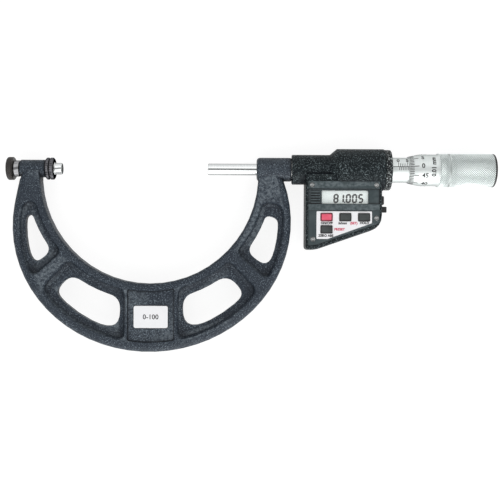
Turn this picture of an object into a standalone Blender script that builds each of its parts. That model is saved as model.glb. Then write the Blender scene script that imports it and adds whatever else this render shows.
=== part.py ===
"""Digital outside micrometer with an interchangeable anvil, built as the real one comes apart.

The origin is the centre of the anvil's measuring face. +X runs along the measuring axis to the
spindle, +Y points away from the frame's bow, and +Z comes out of the display. Units are metres.
"""

import math

import bmesh
import bpy
from mathutils import Matrix, Vector

MM = 0.001
TURN = 2 * math.pi

# Clearances
SEAT = 0.2 * MM
RUNNING = 0.15 * MM

# Steps round a turned piece
FINE_STEPS = 24
PLAIN_STEPS = 16

# Measuring axis
MEASURING_GAP = 81.005 * MM
SPINDLE_RADIUS = 3.175 * MM
TIP_CHAMFER = 0.3 * MM
THREAD_PITCH = 0.5 * MM

# Frame casting
THROAT_RADIUS = 60.2 * MM
THROAT_DROP = 3.5 * MM
SIDE_WIDTH = 16.9 * MM
BOW_DEPTH = 37.7 * MM
RIM_SHIFT = 1.4 * MM
RIM_DROP = 27.1 * MM
RIM_TILT = math.radians(5.5)
FRAME_THICKNESS = 10.6 * MM
WEB_THICKNESS = 4.4 * MM
RIM_ROUNDING = 3.0 * MM
THROAT_ROUNDING = 1.5 * MM
THROAT_RIM = 4.0 * MM
UPPER_RIM = 4.2 * MM
LOWER_RIM = 5.4 * MM
POCKET_FILLET = 2.5 * MM
POCKET_CREST = 0.6 * MM
POCKET_CORNER = 5.0 * MM
HEEL_FLARE = 1.4 * MM
HEEL_HEIGHT = 19.5 * MM

# Windows and pockets, as angles from straight down at the throat's centre
UPPER_POCKET_SPAN = (math.radians(48.5), math.radians(77.5))
UPPER_WINDOW_SPAN = (math.radians(52.0), math.radians(71.4))
LOWER_POCKET_END = math.radians(43.6)
LOWER_WINDOW_END = math.radians(38.8)
UPPER_WINDOW_MARGINS = (8.1 * MM, 7.1 * MM)
LOWER_WINDOW_MARGINS = (9.4 * MM, 9.6 * MM)

# Corner reaches: last end at the throat, then at the rim, first end at the rim, then at the throat
UPPER_WINDOW_CORNERS = (3.0 * MM, 3.0 * MM, 7.5 * MM, 5.5 * MM)
LOWER_WINDOW_CORNERS = (6.2 * MM, 12.0 * MM, 5.0 * MM, 8.5 * MM)

# Centre panel between the lower pockets
PANEL_SHIFT = 1.3 * MM
PANEL_HALF_WIDTH = 13.0 * MM
PANEL_RIB = 1.6 * MM
PANEL_DEPTH = 0.8 * MM
PANEL_CORNER = 1.0 * MM
WINDOW_TO_POCKET = 2.7 * MM
LABEL_WIDTH = 18.8 * MM
LABEL_HEIGHT = 12.2 * MM
LABEL_THICKNESS = 0.3 * MM
LABEL_GAP = 0.1 * MM
LABEL_CORNER = 1.2 * MM
LABEL_RAISE = 0.65 * MM

# Anvil end
ANVIL_TIP_LENGTH = 4.3 * MM
FRONT_NUT_WIDTH = 2.3 * MM
REAR_NUT_WIDTH = 1.9 * MM
NUT_RADIUS = 6.1 * MM
NUT_CHAMFER = 0.6 * MM
NUT_TEETH = 16
FLUTE_DEPTH = 0.35 * MM
ANVIL_HUB_REVEAL = 2.6 * MM
ANVIL_HUB_SETBACK = 2.7 * MM
ANVIL_HUB_RADIUS = 4.9 * MM
HUB_EDGE = 0.5 * MM
ANVIL_THREAD_RADIUS = 3.6 * MM
STUD_RADIUS = 2.4 * MM
STUD_LENGTH = 6.0 * MM
WASHER_WIDTH = 3.1 * MM
WASHER_RADIUS = 4.5 * MM
KNOB_WIDTH = 3.6 * MM
KNOB_RADIUS = 6.4 * MM
KNOB_CHAMFER = 0.9 * MM
KNOB_WALL = 1.0 * MM
KNOB_TEETH = 18

# Spindle hub and the tube that carries the head
HUB_NOSE = 0.9 * MM
SPINDLE_HUB_REACH = 2.4 * MM
SPINDLE_HUB_RADIUS = 6.6 * MM
HUB_NOSE_ROUNDING = 1.8 * MM
HUB_LIP = 2.4 * MM
BUSH_WALL = 1.2 * MM
BUSH_LENGTH = 14.0 * MM
TUBE_WALL = 0.85 * MM
TUBE_OVERLAP = 13.4 * MM

# Head casting: front sleeve, cone and barrel
FRONT_SLEEVE_LENGTH = 21.1 * MM
FRONT_SLEEVE_RADIUS = 8.3 * MM
CONE_LENGTH = 4.0 * MM
BARREL_REVEAL = 1.8 * MM
BARREL_RADIUS = 11.65 * MM
BARREL_WALL = 1.65 * MM
HEAD_EDGE = 0.4 * MM
RING_WIDTH = 3.5 * MM
RING_RADIUS = 11.25 * MM
RING_ROUNDING = 0.9 * MM
SPIGOT_LENGTH = 4.0 * MM

# Encoder
BEARING_WALL = 1.8 * MM
ROTOR_HUB_WALL = 1.15 * MM
ROTOR_DISC_THICKNESS = 1.5 * MM
ENCODER_GAP = 1.0 * MM
ENCODER_RIM_GAP = 0.6 * MM
STATOR_THICKNESS = 1.6 * MM
KEY_RADIUS = 0.5 * MM
KEYWAY_WIDTH = 1.4 * MM
KEYWAY_DEPTH = 0.9 * MM
FEED_IN = 6.005 * MM
FEED_OUT = 18.995 * MM

# Spindle nut, its adjusting nut and the graduated sleeve
NUT_TUBE_RADIUS = 6.0 * MM
NUT_TUBE_END = 5.45 * MM
NUT_FLANGE_WIDTH = 2.3 * MM
NUT_END_LENGTH = 9.0 * MM
NUT_SLOT = 0.7 * MM
NUT_SLOT_LENGTH = 11.0 * MM
ADJUSTER_WIDTH = 5.0 * MM
ADJUSTER_RADIUS = 6.65 * MM
SLEEVE_RADIUS = 6.9 * MM
SLEEVE_LENGTH = 20.0 * MM
SLEEVE_ZERO = 3.4 * MM
GAP_AT_ZERO = 75.0 * MM
SPINDLE_THREAD_RADIUS = 3.95 * MM

# Thimble and friction thimble
THIMBLE_EDGE = 7.4 * MM
THIMBLE_WALL = 0.25 * MM
THIMBLE_RADIUS = 8.75 * MM
THIMBLE_BEVEL = 6.5 * MM
THIMBLE_PLAIN = 9.2 * MM
KNURL_RADIUS = 9.3 * MM
KNURL_STEP = 0.9 * MM
THIMBLE_BAND = 5.5 * MM
SEAM = 0.4 * MM
FRICTION_LENGTH = 25.5 * MM
FRICTION_ROUNDING = 0.9 * MM
FRICTION_WALL = 1.4 * MM
FRICTION_END_WALL = 2.8 * MM
FRICTION_SPRING_WIDTH = 3.4 * MM
FRICTION_SPRING_THICKNESS = 0.5 * MM
NECK_WALL = 1.9 * MM
CONE_SETBACK = 3.5 * MM
CONE_SEAT_LENGTH = 9.0 * MM
CONE_END_RADIUS = 3.2 * MM
TAIL_LENGTH = 2.0 * MM
TAIL_RADIUS = 2.9 * MM
SCREW_HEAD_RADIUS = 5.0 * MM
SCREW_HEAD_HEIGHT = 0.9 * MM
SCREW_HEAD_SINK = 0.3 * MM
SCREW_SHOULDER_RADIUS = 3.0 * MM
SCREW_THREAD_RADIUS = 1.45 * MM
SCREW_THREAD_LENGTH = 9.0 * MM
SCREW_SLOT = 1.2 * MM

# Display case, measured from the head casting's front end
CASE_SETBACK = 7.4 * MM
CASE_WIDTH = 41.9 * MM
CASE_TOP = -3.0 * MM
CASE_BOTTOM = -44.5 * MM
CASE_FOOT = 5.3 * MM
CASE_TOE = -31.8 * MM
CASE_FRONT = 9.0 * MM
CASE_BACK = -11.2 * MM
CASE_BEVEL = 1.9 * MM
CASE_SIDE_BEVEL = 0.8 * MM
CASE_WALL = 3.4 * MM
CASE_BACK_WALL = 2.6 * MM
CASE_FOOT_CORNER = 2.0 * MM
CASE_HEEL_CORNER = 2.6 * MM
CASE_TOE_CORNER = 6.6 * MM
CAVITY_TOP = -12.2 * MM
CAVITY_TOE_CORNER = 3.2 * MM

# Face plate and what shows in it
FACE_INSET = 2.2 * MM
FACE_SIDE_INSET = 1.3 * MM
FACE_RISE = 2.2 * MM
FACE_TOE_CORNER = 1.8 * MM
FACE_THICKNESS = 1.6 * MM
FACE_GAP = 0.12 * MM
BAND_TOP = -10.9 * MM
BAND_BOTTOM = -19.5 * MM
BAND_DEPTH = 0.7 * MM
FIELD_TOP = -22.8 * MM
FIELD_DEPTH = 0.2 * MM
GRIP_RIBS = 5
GRIP_RIB_PITCH = 1.42 * MM
GRIP_RIB_WIDTH = 0.6 * MM
GRIP_RIB_OFFSET = 2.6 * MM
GRIP_RIB_LENGTH = 5.2 * MM
GRIP_RIB_HEIGHT = 0.6 * MM
WINDOW_LEFT = 8.8 * MM
WINDOW_RIGHT = 7.7 * MM
WINDOW_HEIGHT = 7.2 * MM
WINDOW_Y = -15.6 * MM
WINDOW_CORNER = 0.5 * MM
LENS_THICKNESS = 0.7 * MM
PANEL_GLASS = 1.4 * MM
PANEL_BORDER = 1.2 * MM
KEYPAD_LEFT = 5.9 * MM
KEYPAD_RIGHT = 5.7 * MM
KEYPAD_TOP = -23.4 * MM
KEYPAD_RIGHT_HEIGHT = 6.4 * MM
KEYPAD_LEFT_HEIGHT = 15.1 * MM
KEYPAD_FOOT = 6.1 * MM
KEYPAD_THICKNESS = 0.3 * MM
KEYPAD_CORNER = 0.4 * MM

# Buttons
BUTTON_SPACING = 3.9 * MM
BUTTON_HEIGHT = 4.2 * MM
BUTTON_CORNER = 0.6 * MM
BUTTON_PROUD = 0.6 * MM
BUTTON_LIP = 0.6 * MM
BUTTON_LIP_THICKNESS = 0.9 * MM
BUTTON_TRAVEL = 0.7 * MM
BUTTONS_LEFT = 11.4 * MM
BUTTONS_RIGHT = 10.0 * MM
BUTTONS_UPPER = -26.6 * MM
BUTTONS_LOWER = -33.3 * MM

# Face screws
SCREWS_LEFT = 3.4 * MM
SCREWS_RIGHT = 3.15 * MM
SCREWS_RISE = 1.0 * MM
SCREW_HEEL_X = 4.0 * MM
SCREW_HEEL_Y = -38.7 * MM
SCREW_TOE_Y = -27.0 * MM
FACE_SCREW_HEAD = 1.35 * MM
FACE_SCREW_HEAD_HEIGHT = 0.6 * MM
FACE_SCREW_SINK = 0.25 * MM
FACE_SCREW_RADIUS = 0.75 * MM
FACE_SCREW_REACH = 0.8 * MM
BOSS_RADIUS = 1.9 * MM

# Electronics and battery
BOARD_THICKNESS = 1.2 * MM
BOARD_DROP = 2.5 * MM
POST_RADIUS = 1.5 * MM
POST_LEFT = 5.8 * MM
POST_RIGHT = 8.0 * MM
POST_TOP = -14.6 * MM
POST_TOE_X = 5.9 * MM
POST_TOE_Y = -28.4 * MM
POST_HEEL_X = 8.4 * MM
POST_HEEL_Y = -39.0 * MM
MAT_THICKNESS = 0.3 * MM
STRIP_WIDTH = 1.6 * MM
RIBBON_WIDTH = 2.5 * MM
RIBBON_THICKNESS = 0.3 * MM
BATTERY_RADIUS = 10.0 * MM
BATTERY_HEIGHT = 3.2 * MM
BATTERY_OFFSET = 15.5 * MM
BATTERY_ROOM = 0.8 * MM
HOLDER_WALL = 1.0 * MM
HOLDER_ROOM = 1.1 * MM
CONTACT_LENGTH = 13.0 * MM
CONTACT_WIDTH = 4.0 * MM
CONTACT_THICKNESS = 0.25 * MM
CAP_FLANGE = 1.3 * MM
CAP_FLANGE_THICKNESS = 0.8 * MM
SEAL_THICKNESS = 0.5 * MM
COIN_SLOT_WIDTH = 1.8 * MM
COIN_SLOT_LENGTH = 12.0 * MM
COIN_SLOT_DEPTH = 0.5 * MM

# Output port on the right side
PORT_Y = -17.0 * MM
PORT_HALF = 2.3 * MM
PORT_LENGTH = 4.4 * MM
PORT_SINK = 1.0 * MM
PORT_SOCKET_HALF = 1.6 * MM
PORT_SOCKET_DEPTH = 2.2 * MM
COVER_HALF_WIDTH = 3.0 * MM
COVER_HALF_HEIGHT = 2.4 * MM
COVER_THICKNESS = 1.6 * MM
COVER_ROUNDING = 0.6 * MM
STRAP_THICKNESS = 0.8 * MM
STRAP_HALF_WIDTH = 1.2 * MM
TAB_TOP = -20.4 * MM
TAB_BOTTOM = -23.6 * MM
TAB_PROUD = 3.2 * MM
TAB_HALF_WIDTH = 1.6 * MM

# Places along the measuring axis
NUTS_START = -ANVIL_TIP_LENGTH
REAR_NUT_FACE = NUTS_START - FRONT_NUT_WIDTH - SEAT
HUB_FACE = REAR_NUT_FACE - REAR_NUT_WIDTH - SEAT
HUB_BACK = HUB_FACE - (SIDE_WIDTH - ANVIL_HUB_SETBACK)
WASHER_FACE = HUB_BACK - SEAT
KNOB_FACE = WASHER_FACE - WASHER_WIDTH - SEAT
KNOB_END = KNOB_FACE - KNOB_WIDTH

# The throat's circle, the rim's ellipse round it, and the centre panel between them
THROAT_X = HUB_FACE - ANVIL_HUB_REVEAL + THROAT_RADIUS
THROAT_Y = -THROAT_DROP
RIM_X = THROAT_X + RIM_SHIFT
RIM_Y = THROAT_Y - RIM_DROP
RIM_HALF_LENGTH = THROAT_RADIUS + SIDE_WIDTH
RIM_HALF_DEPTH = THROAT_RADIUS + BOW_DEPTH - RIM_DROP
PANEL_X = THROAT_X + PANEL_SHIFT
LABEL_Y = THROAT_Y - THROAT_RADIUS - BOW_DEPTH / 2 + LABEL_RAISE

# Places in the hub and the head
NOSE = THROAT_X + THROAT_RADIUS - HUB_NOSE
HUB_END = NOSE + SIDE_WIDTH + SPINDLE_HUB_REACH
BUSH_RADIUS = SPINDLE_RADIUS + RUNNING + BUSH_WALL
TUBE_BORE = BUSH_RADIUS + SEAT / 2
TUBE_RADIUS = TUBE_BORE + TUBE_WALL
TUBE_START = NOSE + HUB_LIP
HEAD_START = HUB_END + SEAT
TUBE_END = HEAD_START + TUBE_OVERLAP
CONE_START = HEAD_START + FRONT_SLEEVE_LENGTH
BARREL_START = CONE_START + CONE_LENGTH
CASE_LEFT = HEAD_START + CASE_SETBACK
CASE_RIGHT = CASE_LEFT + CASE_WIDTH
BARREL_END = CASE_RIGHT + BARREL_REVEAL
CHAMBER_RADIUS = BARREL_RADIUS - BARREL_WALL
RING_START = BARREL_END + SEAT
RING_END = RING_START + RING_WIDTH

BEARING_START = TUBE_END + SEAT
CHAMBER_START = BARREL_START
BEARING_END = CHAMBER_START - SEAT
ROTOR_HUB_RADIUS = SPINDLE_RADIUS + RUNNING + ROTOR_HUB_WALL
BEARING_RADIUS = ROTOR_HUB_RADIUS + RUNNING + BEARING_WALL
ROTOR_DISC_START = CHAMBER_START + ENCODER_GAP
ROTOR_DISC_END = ROTOR_DISC_START + ROTOR_DISC_THICKNESS
STATOR_START = ROTOR_DISC_END + ENCODER_GAP
STATOR_END = STATOR_START + STATOR_THICKNESS
KEY_X = (BEARING_START + BEARING_END) / 2

FLANGE_END = RING_START - SPIGOT_LENGTH - SEAT
FLANGE_START = FLANGE_END - NUT_FLANGE_WIDTH
SLEEVE_START = RING_END + SEAT
SLEEVE_END = SLEEVE_START + SLEEVE_LENGTH
NUT_STEP = SLEEVE_END - SEAT
NUT_END = NUT_STEP + NUT_END_LENGTH
ADJUSTER_START = NUT_STEP + 2 * SEAT + HEAD_EDGE

THIMBLE_START = SLEEVE_START + SLEEVE_ZERO + MEASURING_GAP - GAP_AT_ZERO
THIMBLE_FULL = THIMBLE_START + THIMBLE_BEVEL
THIMBLE_KNURL = THIMBLE_FULL + THIMBLE_PLAIN
THIMBLE_END = THIMBLE_KNURL + KNURL_STEP + THIMBLE_BAND
THIMBLE_BORE = THIMBLE_EDGE - THIMBLE_WALL
FRICTION_START = THIMBLE_END + SEAM
FRICTION_END = FRICTION_START + FRICTION_LENGTH
FRICTION_BORE = KNURL_RADIUS - FRICTION_WALL
NECK_RADIUS = FRICTION_BORE - 2 * RUNNING
NECK_BORE = NECK_RADIUS - NECK_WALL
NECK_END = FRICTION_END - FRICTION_END_WALL - SEAT
SEAT_START = THIMBLE_END + CONE_SETBACK
SEAT_END = SEAT_START + CONE_SEAT_LENGTH
SPINDLE_END = SEAT_END + TAIL_LENGTH
THREAD_START = FLANGE_START - FEED_OUT / 2 + FEED_IN
SPRING_START = (SEAT_END + NECK_END - FRICTION_SPRING_WIDTH) / 2

# Places in the display case
WINDOW_WIDTH = CASE_WIDTH - WINDOW_LEFT - WINDOW_RIGHT
WINDOW_X = CASE_LEFT + WINDOW_LEFT + WINDOW_WIDTH / 2
KEYPAD_WIDTH = CASE_WIDTH - KEYPAD_LEFT - KEYPAD_RIGHT
KEYPAD_X = CASE_LEFT + KEYPAD_LEFT + KEYPAD_WIDTH / 2
LEDGE = CASE_FRONT - FACE_THICKNESS - FACE_GAP
CAVITY_FLOOR = CASE_BACK + CASE_BACK_WALL
BAND_FLOOR = CASE_FRONT - BAND_DEPTH
FIELD_FLOOR = CASE_FRONT - FIELD_DEPTH
KEYPAD_FLOOR = FIELD_FLOOR - KEYPAD_THICKNESS - LABEL_GAP
LENS_TOP = BAND_FLOOR - LABEL_GAP
LENS_BACK = LENS_TOP - LENS_THICKNESS
GLASS_TOP = min(LENS_BACK, LEDGE + FACE_GAP) - SEAT
GLASS_BACK = GLASS_TOP - PANEL_GLASS
BOARD_TOP = LEDGE - BOARD_DROP
BOARD_BACK = BOARD_TOP - BOARD_THICKNESS
BUTTON_WIDTH = (CASE_WIDTH - BUTTONS_LEFT - BUTTONS_RIGHT) / 2 - BUTTON_SPACING
SCREWS_TOP = SCREWS_RISE - CHAMBER_RADIUS
FACE_TOP = SCREWS_TOP + FACE_RISE
BATTERY_X = CASE_LEFT + BATTERY_OFFSET
BATTERY_BACK = CAVITY_FLOOR + LABEL_GAP
BATTERY_TOP = BATTERY_BACK + BATTERY_HEIGHT
HOLDER_RADIUS = BATTERY_RADIUS + SEAT + HOLDER_WALL
BATTERY_Y = CAVITY_TOP - BATTERY_ROOM - HOLDER_RADIUS
HOLDER_CEILING = BATTERY_TOP + HOLDER_ROOM

PARTS = bpy.data.collections.new("digital_outside_micrometer")
CUTTERS = bpy.data.collections.new("cutters")


def clear_scene():
    """Empties the scene and gives it the two collections."""
    for old in list(bpy.data.objects):
        bpy.data.objects.remove(old)
    for collection in (PARTS, CUTTERS):
        bpy.context.scene.collection.children.link(collection)


def finish(name, colour, roughness, metallic=0.0, alpha=1.0):
    """A Principled material of one colour."""
    material = bpy.data.materials.new(name)
    material.use_nodes = True
    shader = material.node_tree.nodes["Principled BSDF"]
    shader.inputs["Base Color"].default_value = (*colour, 1.0)
    shader.inputs["Roughness"].default_value = roughness
    shader.inputs["Metallic"].default_value = metallic
    shader.inputs["Alpha"].default_value = alpha
    return material


FINISHES = {
    "frame_paint": finish("frame_paint", (0.06, 0.075, 0.09), 0.5, 0.3),
    "head_paint": finish("head_paint", (0.018, 0.02, 0.022), 0.55),
    "ground_steel": finish("ground_steel", (0.62, 0.63, 0.64), 0.2, 1.0),
    "satin_chrome": finish("satin_chrome", (0.68, 0.7, 0.7), 0.32, 1.0),
    "black_steel": finish("black_steel", (0.03, 0.03, 0.032), 0.35, 0.7),
    "case_plastic": finish("case_plastic", (0.06, 0.075, 0.08), 0.5),
    "clear_lens": finish("clear_lens", (0.9, 0.93, 0.92), 0.05, alpha=0.35),
    "display_glass": finish("display_glass", (0.72, 0.78, 0.74), 0.2),
    "white_panel": finish("white_panel", (0.86, 0.87, 0.87), 0.4),
    "red_key": finish("red_key", (0.72, 0.08, 0.14), 0.45),
    "dark_key": finish("dark_key", (0.04, 0.05, 0.05), 0.5),
    "circuit": finish("circuit", (0.03, 0.16, 0.08), 0.45),
    "brass": finish("brass", (0.6, 0.44, 0.18), 0.35, 1.0),
    "rubber": finish("rubber", (0.02, 0.02, 0.02), 0.75),
}


def place(obj, slot=None, collection=None):
    """Links an object, and gives it its one material."""
    (collection or PARTS).objects.link(obj)
    obj.data.materials.clear()
    if slot:
        obj.data.materials.append(FINISHES[slot])
    return obj


def bake(obj):
    """Replaces an object's mesh with what its modifiers make of it, and shades its round faces smooth."""
    bpy.context.view_layer.update()
    shape = obj.evaluated_get(bpy.context.evaluated_depsgraph_get())
    mesh = bpy.data.meshes.new_from_object(shape)
    material = obj.data.materials[0] if obj.data.materials else None
    obj.modifiers.clear()
    obj.data = mesh
    mesh.name = obj.name
    mesh.materials.clear()
    if material:
        mesh.materials.append(material)
    mesh.shade_smooth()
    mesh.set_sharp_from_angle(angle=math.radians(32))
    return obj


def turned(name, outline, slot=None, steps=PLAIN_STEPS, at=(0, 0, 0), axis="X", collection=None):
    """A turned piece. outline holds (distance along the axis, radius) pairs in order round the section."""
    section = [(radius, along) for along, radius in outline]
    area = 0.0
    for (r1, z1), (r2, z2) in zip(section, section[1:] + section[:1]):
        area += r1 * z2 - r2 * z1
    if area > 0:
        section.reverse()
    closed = section[0][0] > 0
    edges = [(i, i + 1) for i in range(len(section) - 1)]
    if closed:
        edges.append((len(section) - 1, 0))
    mesh = bpy.data.meshes.new(name)
    mesh.from_pydata([(radius, 0, along) for radius, along in section], edges, [])
    piece = place(bpy.data.objects.new(name, mesh), slot, collection)
    piece.location = at
    if axis == "X":
        piece.rotation_euler = (0, math.pi / 2, 0)
    screw = piece.modifiers.new("Turn", "SCREW")
    screw.axis = "Z"
    screw.angle = TURN
    screw.steps = steps
    screw.render_steps = steps
    screw.use_merge_vertices = True
    screw.merge_threshold = 0.000001
    return bake(piece)


def slab(name, loops, low, high, slot=None, centre=(0, 0), collection=None):
    """A flat piece from low to high along Z, whose outline and holes are closed loops of points."""
    curve = bpy.data.curves.new(name, "CURVE")
    curve.dimensions = "2D"
    curve.fill_mode = "BOTH"
    curve.extrude = (high - low) / 2
    for loop in loops:
        spline = curve.splines.new("POLY")
        spline.points.add(len(loop) - 1)
        for point, (x, y) in zip(spline.points, loop):
            point.co = (x - centre[0], y - centre[1], 0, 1)
        spline.use_cyclic_u = True
    drawn = bpy.data.objects.new(name + "_outline", curve)
    bpy.context.scene.collection.objects.link(drawn)
    drawn.location = (centre[0], centre[1], (low + high) / 2)
    bpy.context.view_layer.update()
    mesh = bpy.data.meshes.new_from_object(drawn.evaluated_get(bpy.context.evaluated_depsgraph_get()))
    mesh.name = name
    piece = place(bpy.data.objects.new(name, mesh), slot, collection)
    piece.matrix_world = drawn.matrix_world
    bpy.data.objects.remove(drawn)
    shape = bmesh.new()
    shape.from_mesh(mesh)
    bmesh.ops.remove_doubles(shape, verts=shape.verts, dist=0.000001)
    bmesh.ops.dissolve_limit(shape, angle_limit=math.radians(0.2), verts=shape.verts, edges=shape.edges)
    bmesh.ops.recalc_face_normals(shape, faces=shape.faces)
    if shape.calc_volume(signed=True) < 0:
        bmesh.ops.reverse_faces(shape, faces=shape.faces)
    shape.to_mesh(mesh)
    shape.free()
    return piece


def stacked(name, layers, slot=None, collection=None):
    """A solid through outlines of the same count of points, each at its own height. layers rise along Z."""
    mesh = bpy.data.meshes.new(name)
    shape = bmesh.new()
    rings = []
    for height, outline in layers:
        rings.append([shape.verts.new((x, y, height)) for x, y in outline])
    count = len(rings[0])
    for low, high in zip(rings, rings[1:]):
        for i in range(count):
            j = (i + 1) % count
            shape.faces.new((low[i], low[j], high[j], high[i]))
    shape.faces.new(list(reversed(rings[0])))
    shape.faces.new(rings[-1])
    shape.to_mesh(mesh)
    shape.free()
    return place(bpy.data.objects.new(name, mesh), slot, collection)


def block(name, low, high, slot=None, collection=None):
    """A box between two corners."""
    low, high = Vector(low), Vector(high)
    shape = bmesh.new()
    bmesh.ops.create_cube(shape, size=1.0)
    bmesh.ops.scale(shape, vec=high - low, verts=shape.verts)
    mesh = bpy.data.meshes.new(name)
    shape.to_mesh(mesh)
    shape.free()
    piece = place(bpy.data.objects.new(name, mesh), slot, collection)
    piece.location = (low + high) / 2
    return piece


def round_edges(piece, width, segments, weight):
    """Rounds a piece's edges by the share of width that weight(first end, second end) gives them."""
    bpy.context.view_layer.update()
    mesh = piece.data
    old = mesh.attributes.get("bevel_weight_edge")
    if old:
        mesh.attributes.remove(old)
    shares = mesh.attributes.new("bevel_weight_edge", "FLOAT", "EDGE")
    for edge in mesh.edges:
        ends = [piece.matrix_world @ mesh.vertices[i].co for i in edge.vertices]
        shares.data[edge.index].value = weight(*ends)
    bevel = piece.modifiers.new("Rounding", "BEVEL")
    bevel.limit_method = "WEIGHT"
    bevel.width = width
    bevel.segments = segments
    bake(piece)
    left = piece.data.attributes.get("bevel_weight_edge")
    if left:
        piece.data.attributes.remove(left)
    return piece


def stitch(shape):
    """Splits a long open edge where corners of shorter open edges lie on it, and joins them."""
    reach = 0.000002
    split = True
    while split:
        split = None
        edges = [edge for edge in shape.edges if edge.is_boundary]
        corners = {corner for edge in edges for corner in edge.verts}
        for edge in edges:
            start, end = edge.verts
            along = end.co - start.co
            for corner in corners - {start, end}:
                share = (corner.co - start.co).dot(along) / along.length_squared
                if 0 < share < 1 and (start.co + along * share - corner.co).length < reach:
                    split = (edge, start, share)
        if split:
            bmesh.utils.edge_split(*split)
            bmesh.ops.remove_doubles(shape, verts=shape.verts, dist=reach)


def combine(piece, tool, operation="DIFFERENCE"):
    """Cuts a piece with a tool, or joins the tool to it. The tool stays among the cutters."""
    for collection in list(tool.users_collection):
        collection.objects.unlink(tool)
    CUTTERS.objects.link(tool)
    tool.name = "cut_" + tool.name if not tool.name.startswith("cut_") else tool.name
    tool.hide_render = True
    tool.display_type = "WIRE"
    step = piece.modifiers.new("Combine", "BOOLEAN")
    step.operation = operation
    step.solver = "EXACT"
    step.object = tool
    bake(piece)
    shape = bmesh.new()
    shape.from_mesh(piece.data)
    bmesh.ops.remove_doubles(shape, verts=shape.verts, dist=0.000002)
    bmesh.ops.dissolve_degenerate(shape, edges=shape.edges, dist=0.000002)
    stitch(shape)
    shape.to_mesh(piece.data)
    shape.free()
    return piece


def flute(piece, radius, teeth, depth):
    """Presses straight flutes into the outer edge of a turned piece with two steps to a tooth."""
    for vertex in piece.data.vertices:
        x, y, _ = vertex.co
        if math.hypot(x, y) < radius - depth / 4:
            continue
        step = round(math.atan2(y, x) / (math.pi / teeth))
        if step % 2:
            vertex.co.x *= 1 - depth / radius
            vertex.co.y *= 1 - depth / radius
    return piece


def arc(centre, radius, first, last, count):
    """Points along an arc, both ends included."""
    cx, cy = centre
    angles = [first + (last - first) * i / (count - 1) for i in range(count)]
    return [(cx + radius * math.cos(a), cy + radius * math.sin(a)) for a in angles]


def trimmed(line, start, end):
    """A line of points with a length cut off each end, and some of it left between the cuts."""
    for amount, most in ((start, 0.49), (end, 0.9)):
        points = [Vector(p) for p in line]
        while len(points) > 2 and (points[1] - points[0]).length < amount:
            amount -= (points[1] - points[0]).length
            points.pop(0)
        step = points[1] - points[0]
        amount = min(amount, step.length * most)
        points[0] = points[0] + step.normalized() * amount
        line = [tuple(p) for p in reversed(points)]
    return line


def softened(sides, reaches, count=4):
    """A closed outline from its sides, each corner a curve that starts its reach before it."""
    number = len(sides)
    cut = [trimmed(side, reaches[i - 1], reaches[i]) for i, side in enumerate(sides)]
    outline = []
    for i, side in enumerate(cut):
        outline += side
        corner = Vector(sides[i][-1])
        start, end = Vector(side[-1]), Vector(cut[(i + 1) % number][0])
        for k in range(1, count):
            t = k / count
            point = start * (1 - t) ** 2 + corner * 2 * t * (1 - t) + end * t**2
            outline.append((point.x, point.y))
    return outline


def straight_sides(corners):
    """The sides of a polygon, as softened takes them. A reach then belongs to each side's far corner."""
    return [[a, b] for a, b in zip(corners, corners[1:] + corners[:1])]


def soft_polygon(corners, reaches, count=4):
    """A polygon with rounded corners. reaches are in the order of corners."""
    return softened(straight_sides(corners), reaches[1:] + reaches[:1], count)


def soft_rectangle(centre, width, height, corner, count=3):
    """A rectangle with rounded corners."""
    cx, cy = centre
    x, y = width / 2, height / 2
    corners = [(cx - x, cy - y), (cx + x, cy - y), (cx + x, cy + y), (cx - x, cy + y)]
    return soft_polygon(corners, [corner] * 4, count)


def inset(corners, distances):
    """A polygon, listed anticlockwise, with each side moved inwards by its own distance."""
    lines = []
    for (a, b), distance in zip(straight_sides(corners), distances):
        a, b = Vector(a), Vector(b)
        along = (b - a).normalized()
        lines.append((a + Vector((-along.y, along.x)) * distance, along))
    moved = []
    for (p, u), (q, v) in zip(lines[-1:] + lines[:-1], lines):
        t = (q - p).cross(v) / u.cross(v)
        moved.append(tuple(p + u * t))
    return moved


def rim_point(angle, margin=0.0):
    """A point on the frame's outer edge, or on the curve that runs a margin inside it."""
    across = (RIM_HALF_LENGTH - margin) * math.cos(angle)
    up = (RIM_HALF_DEPTH - margin) * math.sin(angle)
    x = RIM_X + across * math.cos(RIM_TILT) - up * math.sin(RIM_TILT)
    y = RIM_Y + across * math.sin(RIM_TILT) + up * math.cos(RIM_TILT)
    return x, y


def throat_point(angle, margin=0.0):
    """A point on the throat's circle, or on the circle that runs a margin outside it."""
    radius = THROAT_RADIUS + margin
    return THROAT_X + radius * math.cos(angle), THROAT_Y + radius * math.sin(angle)


def rim_angle(test, low, high):
    """The rim angle between low and high at which test(angle) changes sign."""
    sign = test(low) > 0
    for _ in range(50):
        middle = (low + high) / 2
        if (test(middle) > 0) == sign:
            low = middle
        else:
            high = middle
    return (low + high) / 2


def level_angle(quarter):
    """The rim angle in a quarter, where the frame's outer edge meets the measuring axis."""
    return rim_angle(lambda a: rim_point(a)[1], *quarter)


def radial_end(polar, margins):
    """The throat angle and the rim angle of an end line that points at the throat's centre."""
    ray = Vector((math.cos(polar), math.sin(polar)))

    def side(angle):
        x, y = rim_point(angle, margins[1])
        return ray.cross(Vector((x - THROAT_X, y - THROAT_Y)))

    return polar, rim_angle(side, polar - 0.6, polar + 0.6)


def upright_end(x, margins):
    """The throat angle and the rim angle of an upright end line at x."""
    polar = -math.acos((x - THROAT_X) / (THROAT_RADIUS + margins[0]))
    outer = rim_angle(lambda a: rim_point(a, margins[1])[0] - x, math.radians(-150), math.radians(-30))
    return polar, outer


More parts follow.
